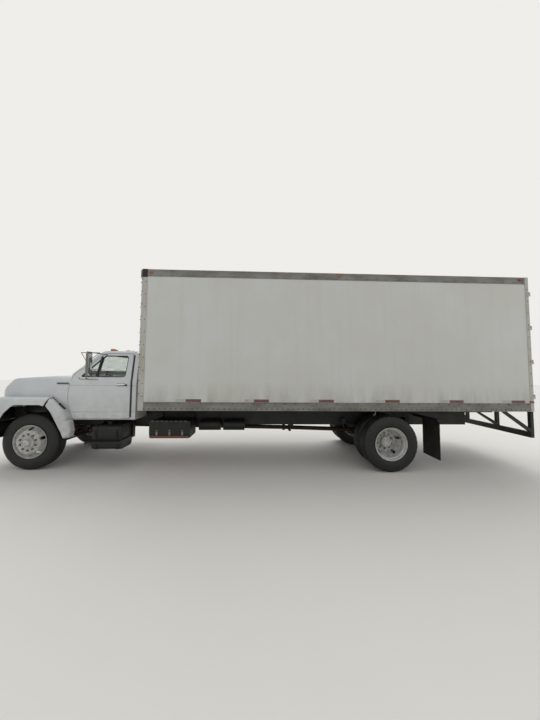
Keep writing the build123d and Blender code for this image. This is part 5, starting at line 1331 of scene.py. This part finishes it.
def toolBoxLatches():
    # over-centre latches, each a back plate, a lever, a wire loop and the lid's catch, and the hinge's barrel
    look, shape = boxLook, bmesh.new()
    outer, z = look["outer"], look["low"] + look["latchUp"]
    for x in evenly(look["front"] - look["latchFromEnd"], look["back"] + look["latchFromEnd"],
                    look["latchStep"]):
        for half, near, far, low, high, bevel in look["latch"]:
            addBox(shape, (x - half, outer + near, z + low), (x + half, outer + far, z + high), bevel)
        for aside in (-look["wireHalf"], look["wireHalf"]):
            foot, top = [(x + aside, outer + out, z + up) for out, up in (look["wireFoot"], look["wireTop"])]
            addRod(shape, foot, top, look["wire"], sides=6)
    y, z = look["outer"] - look["knuckleIn"], look["high"] + look["knuckleUp"]
    for x in evenly(look["front"] - look["knuckleFromEnd"], look["back"] + look["knuckleFromEnd"],
                    look["knuckleStep"])[:-1]:
        addRod(shape, (x, y, z), (x - look["knuckleLong"], y, z), look["knuckle"], sides=10)
    placePiece("toolBoxLatches", shape, "chassis", "zincPlate", "bare_steel")


def toolBoxIron():
    # an angle iron under the box, painted with primer: its flat leg in two strips and its upright leg
    look, shape = boxLook, bmesh.new()
    back, front = look["back"] + look["ironFromEnd"], look["front"] - look["ironFromEnd"]
    top = look["low"] - look["ironGap"]
    bottom, outer = top - look["ironThick"], look["outer"] + look["ironOut"]
    split = look["outer"] - look["ironSplit"]
    for near, far, high in ((look["ironInner"], split + look["ironGap"], top),
                            (split - look["ironGap"], outer, top),
                            (look["outer"] + look["ironGap"], outer, look["low"] + look["ironUp"])):
        addBox(shape, (back, near, bottom), (front, far, high), 0.001)
    placePiece("toolBoxPlate", shape, "chassis", "redOxide", "black_metal")


stepLook = {
    "front": 3.238, "back": 2.692, "inner": 0.945, "top": 0.520, "fromEnd": 0.03, "rowStep": 0.036,
    "rows": (0.03, 0.06, 0.09), "stagger": 0.009, "cup": (0.010, 0.0075), "cupHigh": 0.004,
}


def stepTreads():
    # pressed grip on the steps: rows of raised cups with their rims left sharp
    look, shape = stepLook, bmesh.new()
    for sign in (1, -1):
        for x in evenly(look["front"] - look["fromEnd"], look["back"] + look["fromEnd"], look["rowStep"]):
            for number, row in enumerate(look["rows"]):
                cupX, y = x + look["stagger"] * (number % 2), sign * (look["inner"] + row)
                addRod(shape, (cupX, y, look["top"] - rooted), (cupX, y, look["top"] + look["cupHigh"]),
                       *look["cup"], 8)
    placePiece("stepTreads", shape, "chassis", "chassisBlack", "black_metal")


fuelTankParts()
toolBoxLatches()
toolBoxIron()
stepTreads()
print("tank, box and step fittings made")


# Bench seat

seatLook = {
    "halfWidth": 0.780, "round": 0.030, "shrink": 0.010, "voxel": 0.018,
    "pressure": 4.0, "frames": 20, "mostSwelling": 0.016, "fill": 0.75,
    # sewn channels: their spacing, depth and width, and how far from the ends they stop
    "channelStep": 0.13, "channelDeep": 0.011, "channelWide": 0.013, "plainEnd": 0.09,
    # corners of each section (X, Z) as the cushion and the back stand, and the way their sitting sides face
    "cushion": ((3.100, 1.150), (3.100, 1.290), (2.620, 1.260), (2.620, 1.120)), "cushionFaces": (0, 0, 1),
    "back": ((2.690, 1.250), (2.615, 1.250), (2.490, 1.800), (2.560, 1.840)), "backFaces": (1, 0, 0.15),
}


def roundedSlab(corners, look):
    # a section swept across the cab with all its edges rounded, a little smaller than it will be when full
    middle = Vector((sum(x for x, z in corners) / len(corners), 0, sum(z for x, z in corners) / len(corners)))
    halfWidth = look["halfWidth"] - look["shrink"]
    shape = bmesh.new()
    ends = []
    for y in (-halfWidth, halfWidth):
        ring = []
        for x, z in corners:
            corner = Vector((x, 0, z)) - middle
            corner -= corner.normalized() * look["shrink"] * 1.4  # corners draw in along the diagonal
            ring.append(shape.verts.new(middle + corner + Vector((0, y, 0))))
        ends.append(ring)
    shape.faces.new(ends[0])
    shape.faces.new(ends[1][::-1])
    for index in range(len(corners)):
        following = (index + 1) % len(corners)
        shape.faces.new((ends[0][index], ends[1][index], ends[1][following], ends[0][following]))
    bmesh.ops.recalc_face_normals(shape, faces=shape.faces)
    bmesh.ops.bevel(shape, geom=list(shape.edges), offset=look["round"], segments=4, affect="EDGES",
                    profile=0.5, material=-1)
    return shape


def swollen(name, mesh, look):
    # foam under a cover: pressure swells the cover and the swelling is held to a few millimetres
    flat = [corner.co.copy() for corner in mesh.vertices]
    holder = holderOf(name, mesh)
    cover = holder.modifiers.new("cover", "CLOTH")
    cover.settings.quality = 5
    cover.settings.use_pressure = True
    cover.settings.uniform_pressure_force = look["pressure"]
    cover.settings.effector_weights.gravity = 0
    cover.point_cache.frame_end = look["frames"]
    for step in range(1, look["frames"] + 1):
        bpy.context.scene.frame_set(step)
    puffed = finishedMesh(holder)
    bpy.context.scene.frame_set(1)
    for corner, start in zip(puffed.vertices, flat):
        moved = corner.co - start
        if moved.length > look["mostSwelling"]:
            corner.co = start + moved.normalized() * look["mostSwelling"]
    return puffed


def sewChannels(shape, toward, look):
    # channels run from front to back, and up the back, where stitching pulls the cover in
    shape.normal_update()
    for corner in shape.verts:
        facing = max(0.0, corner.normal.dot(toward))
        channel = (corner.co.y / look["channelStep"]) % 1.0
        away = min(channel, 1 - channel) * look["channelStep"]
        if look["halfWidth"] - abs(corner.co.y) > look["plainEnd"]:
            depth = look["channelDeep"] * math.exp(-(away / look["channelWide"]) ** 2) * facing ** 0.5
            corner.co -= toward * depth


def seatPad(name, corners, faces, look):
    shape = roundedSlab(corners, look)
    mesh = bpy.data.meshes.new(name)
    shape.to_mesh(mesh)
    shape.free()
    holder = holderOf(name, mesh)
    cells = holder.modifiers.new("cells", "REMESH")
    cells.mode = "VOXEL"
    cells.voxel_size = look["voxel"]
    holder = holderOf(name, swollen(name, finishedMesh(holder), look))
    smoothing = holder.modifiers.new("smoothing", "SUBSURF")
    smoothing.levels = 1
    smoothing.render_levels = 1
    shape = bmesh.new()
    shape.from_mesh(finishedMesh(holder))
    sewChannels(shape, Vector(faces).normalized(), look)
    piece = placePiece(name, shape, "chassis", "seatVinyl", "seat_cloth", 60)
    return piece


baseLook = {  # the pressed pan under the cushion and the two runners that bolt it to the floor
    "pan": ((2.645, -0.735, 1.068), (3.055, 0.735, 1.128)),
    "runnerX": (2.66, 3.04), "runnerY": 0.70, "runnerHalf": 0.012, "runnerZ": (1.067, 1.075),
    "boltX": (2.69, 3.01), "boltY": 0.715, "bolt": (0.016, 0.008),
}


def seatBase():
    look, shape = baseLook, bmesh.new()
    addBox(shape, *look["pan"], 0.008)
    (back, front), (low, high) = look["runnerX"], look["runnerZ"]
    for sign in (1, -1):
        addBox(shape, (back, sign * look["runnerY"] - look["runnerHalf"], low),
               (front, sign * look["runnerY"] + look["runnerHalf"], high), 0.002)
        for x in look["boltX"]:
            addBolt(shape, (x, sign * look["boltY"], high), (0, 0, 1), *look["bolt"])
    return placePiece("seatBase", shape, "chassis", "innerPaint", "black_metal")


cushion = seatPad("seatCushion", seatLook["cushion"], seatLook["cushionFaces"], seatLook)
seatBack = seatPad("seatBack", seatLook["back"], seatLook["backFaces"], seatLook)
for piece in (cushion, seatBack, seatBase()):
    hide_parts("bench_seat")
print("seat made,", len(cushion.data.polygons) + len(seatBack.data.polygons), "faces")


# Dash

dashLook = {  # its rear face leans back as it rises past a height; the lean is in degrees
    "rear": 3.2635, "rearZ": 1.54, "lean": 3.3,
    # dials: Y, Z, radius
    "dials": ((0.545, 1.565, 0.052), (0.315, 1.565, 0.052), (0.430, 1.600, 0.026), (0.430, 1.530, 0.026),
              (0.665, 1.590, 0.026), (0.665, 1.520, 0.026), (0.195, 1.590, 0.026), (0.195, 1.520, 0.026)),
    # how far the bezel, the face, its marks, the needle and its hub stand out
    "bezelOut": 0.010, "faceIn": 0.009, "faceOut": 0.0108, "markOut": 0.0112, "needleOut": 0.012,
    "hubIn": 0.010, "hubOut": 0.0145,
    # the bezel's rim at its foot and top, and the radii of hub, needle and marks
    "rim": 0.006, "rimTop": 0.002, "hub": (0.006, 0.005), "needle": (0.0022, 0.0008), "mark": 0.0012,
    # half the scale's sweep in radians, where a resting needle may stand, and lengths as shares of the radius
    "sweep": 2.2, "resting": (-2.2, 0.4), "needleLong": 0.78, "marks": 11, "markFrom": 0.80, "markTo": 0.94,
    # air vents: Y and Z, half sizes, rim, and how far the rim and the blades stand out and go in
    "vents": ((0.790, 1.600), (0.060, 1.600), (-0.160, 1.600), (-0.790, 1.600)),
    "ventHalf": (0.050, 0.028), "ventRim": 0.005, "rimOut": (0.007, 0.003), "bladeOut": (0.005, 0.002),
    "blades": 5, "bladeFrom": 0.011, "bladeStep": 0.0095, "bladeThick": 0.002, "bladeIn": 0.004,
    # glove box lid and its latch: out and in from the dash's face, then Y and Z ranges
    "trimZ": 1.50, "lid": (0.006, 0.004, -0.700, -0.330, 1.455, 1.560),
    "latch": (0.014, -0.004, -0.545, -0.485, 1.535, 1.552),
    # a row of switches: how many, first Y and step, half width, out and in from the face, and Z range
    "switches": 6, "switchFrom": 0.150, "switchStep": 0.045, "switchHalf": 0.014,
    "switch": (0.010, 0.002), "switchZ": (1.485, 1.515),
}


def dashRearX(z):
    return dashLook["rear"] + (z - dashLook["rearZ"]) * math.tan(math.radians(dashLook["lean"]))


def addDial(bezels, faces, needles, y, z, radius):
    look, x = dashLook, dashRearX(z)

    def around(angle, share, out):
        return (x - out, y + radius * share * math.sin(angle), z + radius * share * math.cos(angle))

    addRod(bezels, (x, y, z), (x - look["bezelOut"], y, z), radius + look["rim"], radius + look["rimTop"], 28)
    addRod(faces, (x - look["faceIn"], y, z), (x - look["faceOut"], y, z), radius, sides=28)
    turn = random.uniform(*look["resting"])
    addRod(needles, (x - look["needleOut"], y, z), around(turn, look["needleLong"], look["needleOut"]),
           *look["needle"], 6)
    addRod(needles, (x - look["hubIn"], y, z), (x - look["hubOut"], y, z), *look["hub"], 12)
    for mark in range(look["marks"]):
        angle = look["sweep"] * (2 * mark / (look["marks"] - 1) - 1)
        addRod(needles, around(angle, look["markFrom"], look["markOut"]),
               around(angle, look["markTo"], look["markOut"]), look["mark"], sides=4)


def addVent(trim, y, z):
    look, x = dashLook, dashRearX(z)
    halfY, halfZ = look["ventHalf"]
    rim, (out, inward) = look["ventRim"], look["rimOut"]
    for low, high in (((-halfY, halfZ - rim), (halfY, halfZ)), ((-halfY, -halfZ), (halfY, -halfZ + rim)),
                      ((-halfY, -halfZ), (-halfY + rim, halfZ)), ((halfY - rim, -halfZ), (halfY, halfZ))):
        addBox(trim, (x - out, y + low[0], z + low[1]), (x + inward, y + high[0], z + high[1]), 0.0015)
    out, inward = look["bladeOut"]
    for number in range(look["blades"]):
        blade = z - halfZ + look["bladeFrom"] + number * look["bladeStep"]
        addBox(trim, (x - out, y - halfY + look["bladeIn"], blade),
               (x + inward, y + halfY - look["bladeIn"], blade + look["bladeThick"]), 0.0006)


def dashParts():
    look = dashLook
    bezels, faces, needles, trim = bmesh.new(), bmesh.new(), bmesh.new(), bmesh.new()
    for dial in look["dials"]:
        addDial(bezels, faces, needles, *dial)
    for vent in look["vents"]:
        addVent(trim, *vent)
    # glove box lid, its latch, and a row of switches beside the column
    x = dashRearX(look["trimZ"])
    for key, bevel, segments in (("lid", 0.006, 3), ("latch", 0.003, 2)):
        out, inward, near, far, low, high = look[key]
        addBox(trim, (x - out, near, low), (x + inward, far, high), bevel, segments)
    (out, inward), (low, high), half = look["switch"], look["switchZ"], look["switchHalf"]
    for number in range(look["switches"]):
        y = look["switchFrom"] - number * look["switchStep"]
        addBox(trim, (x - out, y - half, low), (x + inward, y + half, high), 0.003)
    for name, shape, finish in (("dialBezels", bezels, "grainedPlastic"), ("dialFaces", faces, "dialBlack"),
                                ("dialNeedles", needles, "dialWhite"), ("dashTrim", trim, "grainedPlastic")):
        placePiece(name, shape, "chassis", finish, "black_plastic")


dashParts()
print("dash made")


# Pedals, gear lever, stalk and sun visors

pedalLook = {  # Y and Z of each pad, their X range, half size and tilt, and the arm from pad to toe board
    "pads": ((0.560, 1.205), (0.430, 1.205), (0.290, 1.170)), "padX": (3.470, 3.482), "halfY": 0.036,
    "halfZ": 0.034, "tilt": 0.35, "armX": (3.480, 3.545, 3.560), "armUp": (0, 0.10, 0.22), "arm": 0.008,
}
leverLook = {
    "bends": ((3.200, 0.060, 1.075), (3.120, 0.080, 1.430), (3.075, 0.095, 1.520)),
    "rod": 0.009, "tip": 0.008,
    # rings of the rubber boot: foot and top in Z, and their radii
    "bootFoot": (3.200, 0.060), "bootTop": (3.195, 0.061),
    "boot": ((1.068, 1.085, 0.075, 0.070), (1.085, 1.104, 0.062, 0.046), (1.104, 1.124, 0.042, 0.024)),
    "knob": (3.066, 0.098, 1.537), "knobRadius": 0.024, "knobTall": 1.25,
    "stalk": ((3.205, 0.455, 1.525), (3.190, 0.600, 1.560)), "stalkEnds": (0.005, 0.008),
}
visorLook = {  # X and Z ranges, middle and half width in Y, tilt, and the pivot rod
    "x": (2.880, 3.030), "z": (2.095, 2.113), "y": 0.360, "half": 0.210, "tilt": 0.10, "rod": 0.005,
    "rodX": 3.020, "rodZ": 2.103, "rodHalf": 0.225, "mountX": 3.010, "mountY": 0.600, "mountZ": 2.128,
}


def floorControls():
    # clutch, brake and throttle pedals hung from the toe board, and the gear lever in its boot
    look, shape = pedalLook, bmesh.new()
    back, front = look["padX"]
    for y, z in look["pads"]:
        addBox(shape, (back, y - look["halfY"], z - look["halfZ"]),
               (front, y + look["halfY"], z + look["halfZ"]), 0.004,
               turn=Matrix.Rotation(look["tilt"], 3, "Y"))
        addBentRod(shape, [(x, y, z + up) for x, up in zip(look["armX"], look["armUp"])], look["arm"], 12)
    look = leverLook
    foot, bend, top = look["bends"]
    addRod(shape, foot, bend, look["rod"])
    addRod(shape, bend, top, look["rod"], look["tip"])
    for low, high, radius, topRadius in look["boot"]:
        addRod(shape, (*look["bootFoot"], low), (*look["bootTop"], high), radius, topRadius, 20)
    placePiece("floorControls", shape, "chassis", "grainedPlastic", "black_plastic")


def leverKnobs():
    # the gear lever's knob and the stalk on the column
    look, shape = leverLook, bmesh.new()
    knob = bmesh.ops.create_uvsphere(shape, u_segments=20, v_segments=12, radius=look["knobRadius"])["verts"]
    bmesh.ops.scale(shape, vec=(1, 1, look["knobTall"]), verts=knob)
    bmesh.ops.translate(shape, vec=look["knob"], verts=knob)
    addRod(shape, *look["stalk"], *look["stalkEnds"])
    placePiece("leverKnobs", shape, "chassis", "grainedPlastic", "black_plastic")


def sunVisors():
    look, shape = visorLook, bmesh.new()
    (back, front), (low, high) = look["x"], look["z"]
    rodX, rodZ = look["rodX"], look["rodZ"]
    for sign in (1, -1):
        middle = sign * look["y"]
        addBox(shape, (back, middle - look["half"], low), (front, middle + look["half"], high), 0.008, 3,
               Matrix.Rotation(look["tilt"], 3, "Y"))
        addRod(shape, (rodX, middle - look["rodHalf"], rodZ), (rodX, middle + look["rodHalf"], rodZ),
               look["rod"])
        addRod(shape, (rodX, sign * (look["y"] + look["rodHalf"]), rodZ),
               (look["mountX"], sign * look["mountY"], look["mountZ"]), look["rod"])
    placePiece("sunVisors", shape, "chassis", "innerPaint", "black_plastic")


floorControls()
leverKnobs()
sunVisors()
print("controls and visors made")


# Door trim

doorLook = {
    "inner": 0.944,
    # slabs, each as its X range, how far its two faces stand in from the door, its Z range, and its edge
    "trim": ((2.640, 3.430, -0.002, 0.009, 1.030, 1.560, 0.004),
             (2.700, 3.330, 0.006, 0.014, 1.130, 1.440, 0.004),
             (2.740, 3.120, 0.010, 0.062, 1.300, 1.345, 0.014)),
    "pull": ((2.730, 2.830, 0.010, 0.018, 1.452, 1.488, 0.003),
             (2.736, 2.810, 0.018, 0.030, 1.462, 1.478, 0.004)),
    # the window's crank, each rod as X, in and Z of its two ends, then its radii and sides
    "crank": (((3.060, 0.010, 1.400), (3.060, 0.036, 1.400), 0.016, 0.012, 16),
              ((3.060, 0.032, 1.400), (2.965, 0.040, 1.370), 0.007, 0.007, 12),
              ((2.965, 0.036, 1.370), (2.965, 0.066, 1.370), 0.011, 0.009, 14)),
}


def doorTrim(side, sign):
    # a pressed board inside the door with an arm rest, the window's crank and the latch's pull
    look = doorLook

    def at(x, inward, z):
        return (x, sign * (look["inner"] - inward), z)

    def addSlabs(shape, slabs):
        for back, front, outer, inner, low, high, bevel in slabs:
            addBox(shape, at(back, outer, low), at(front, inner, high), bevel, 3)

    shape = bmesh.new()
    addSlabs(shape, look["trim"])
    placePiece("doorTrim_" + side, shape, "cab_door_" + side, "innerPaint", "black_plastic")
    shape = bmesh.new()
    for start, end, radius, endRadius, count in look["crank"]:
        addRod(shape, at(*start), at(*end), radius, endRadius, count)
    addSlabs(shape, look["pull"])
    placePiece("doorCrank_" + side, shape, "cab_door_" + side, "chromePlate", "chrome_trim")


for side, sign in bothSides:
    doorTrim(side, sign)
print("door trim made")


# Wipers and lamp surrounds

wiperLook = {
    # where each arm turns and where its blade starts and ends: Y, Z
    "pair": (((0.700, 1.757), (0.660, 1.835), (0.130, 1.822)),
             ((-0.120, 1.757), (-0.160, 1.835), (-0.690, 1.822))),
    # the spindle's foot and top and its radii; the arm's height there and where its springy half starts
    "spindle": (-0.010, 0.030), "spindleEnds": (0.013, 0.010), "armFrom": 0.026, "knee": 0.3,
    "armEnds": (0.007, 0.006), "springEnds": (0.0045, 0.0035),
    # how high the blade and the bow stand, the bow's feet as shares of the blade, and their radii
    "bladeUp": 0.012, "bowUp": 0.016, "footUp": 0.004, "feet": (0.15, 0.85), "blade": 0.0045,
    "bowEnds": (0.003, 0.0025),
}


def wipers():
    look, shape = wiperLook, bmesh.new()
    glass = Skin("cab_glass", "cab_shell")
    foot, top = look["spindle"]
    for places in look["pair"]:
        (base, lean), (start, outward), (end, endOutward) = onNose(glass, 1, places)
        addRod(shape, base + lean * foot, base + lean * top, *look["spindleEnds"], 14)
        low, high = start + outward * look["bladeUp"], end + endOutward * look["bladeUp"]
        middle = (low + high) / 2 + outward * look["bowUp"]
        knee = base + lean * top + (middle - base) * look["knee"]
        addRod(shape, base + lean * look["armFrom"], knee, *look["armEnds"], 8)
        addRod(shape, knee, middle, *look["springEnds"], 8)
        addRod(shape, low, high, look["blade"], sides=8)
        # the bow that spreads the arm's push along the blade
        for share in look["feet"]:
            addRod(shape, middle, low + (high - low) * share + outward * look["footUp"], *look["bowEnds"], 8)
    placePiece("wipers", shape, "chassis", "grainedPlastic", "black_plastic")


lampRing = {
    "nearY": 0.560, "farY": 0.810, "low": 1.110, "high": 1.270, "wide": 0.018, "proud": 0.007, "overlap": 0.8,
    # flutes: spacing, share of it that each fills, thickness, how far they stop from the lens's edges
    "fluteStep": 0.016, "fluteShare": 0.82, "fluteThick": 0.004, "fluteSide": 0.018, "fluteEnd": 0.014,
    "fluteRun": 0.05,
}


def lampSurrounds():
    # bright mouldings round the headlamps, following the nose
    look, shape, nose = lampRing, bmesh.new(), Skin("hood_shell")
    out = look["wide"] * look["overlap"]
    near, far, low, high = look["nearY"] - out, look["farY"] + out, look["low"] - out, look["high"] + out
    corners = [(near, low), (far, low), (far, high), (near, high), (near, low)]
    for sign in (1, -1):
        for start, end in zip(corners, corners[1:]):
            addStrip(shape, onNose(nose, sign, spread(start, end, 6)), look["wide"], look["proud"])
    placePiece("lampSurrounds", shape, "hood", "chromePlate", "chrome_trim")


def lampFlutes():
    # moulded flutes that spread the beam, standing on each lens
    look, shape, lens = lampRing, bmesh.new(), Skin("headlamps")
    for sign in (1, -1):
        for y in evenly(look["nearY"] + look["fluteSide"], look["farY"] - look["fluteSide"],
                        look["fluteStep"]):
            places = [(y, z) for z in evenly(look["low"] + look["fluteEnd"], look["high"] - look["fluteEnd"],
                                             look["fluteRun"])]
            addStrip(shape, onNose(lens, sign, places), look["fluteStep"] * look["fluteShare"],
                     look["fluteThick"], crown=0.9)
    placePiece("lampFlutes", shape, "hood", "clearLens", "headlamp_lens")


valanceLook = {
    "inner": 0.375, "outer": 0.985, "hemZ": 0.874, "topZ": 0.976,
    "behind": 0.010, "thick": 0.005, "step": 0.05,
    "skinUp": 0.004,  # the nose is looked up just above the strip
}


def noseValance():
    # a rubber strip that hangs from the nose and closes the gap above the bumper
    look, shape, nose = valanceLook, bmesh.new(), Skin("hood_shell")
    middle = (look["hemZ"] + look["topZ"]) / 2
    for sign in (1, -1):
        places = [(y, look["topZ"] + look["skinUp"])
                  for y in evenly(look["inner"], look["outer"], look["step"])]
        line = [(Vector((place.x - look["behind"], place.y, middle)), Vector((1, 0, 0)))
                for place, outward in onNose(nose, sign, places)]
        addStrip(shape, line, look["topZ"] - look["hemZ"], look["thick"], 0.0, 0.2)
    placePiece("noseValance", shape, "hood", "flapRubber", "soft_rubber")


wipers()
noseValance()
lampSurrounds()
lampFlutes()
print("wipers and lamp surrounds made")


print("pieces made")
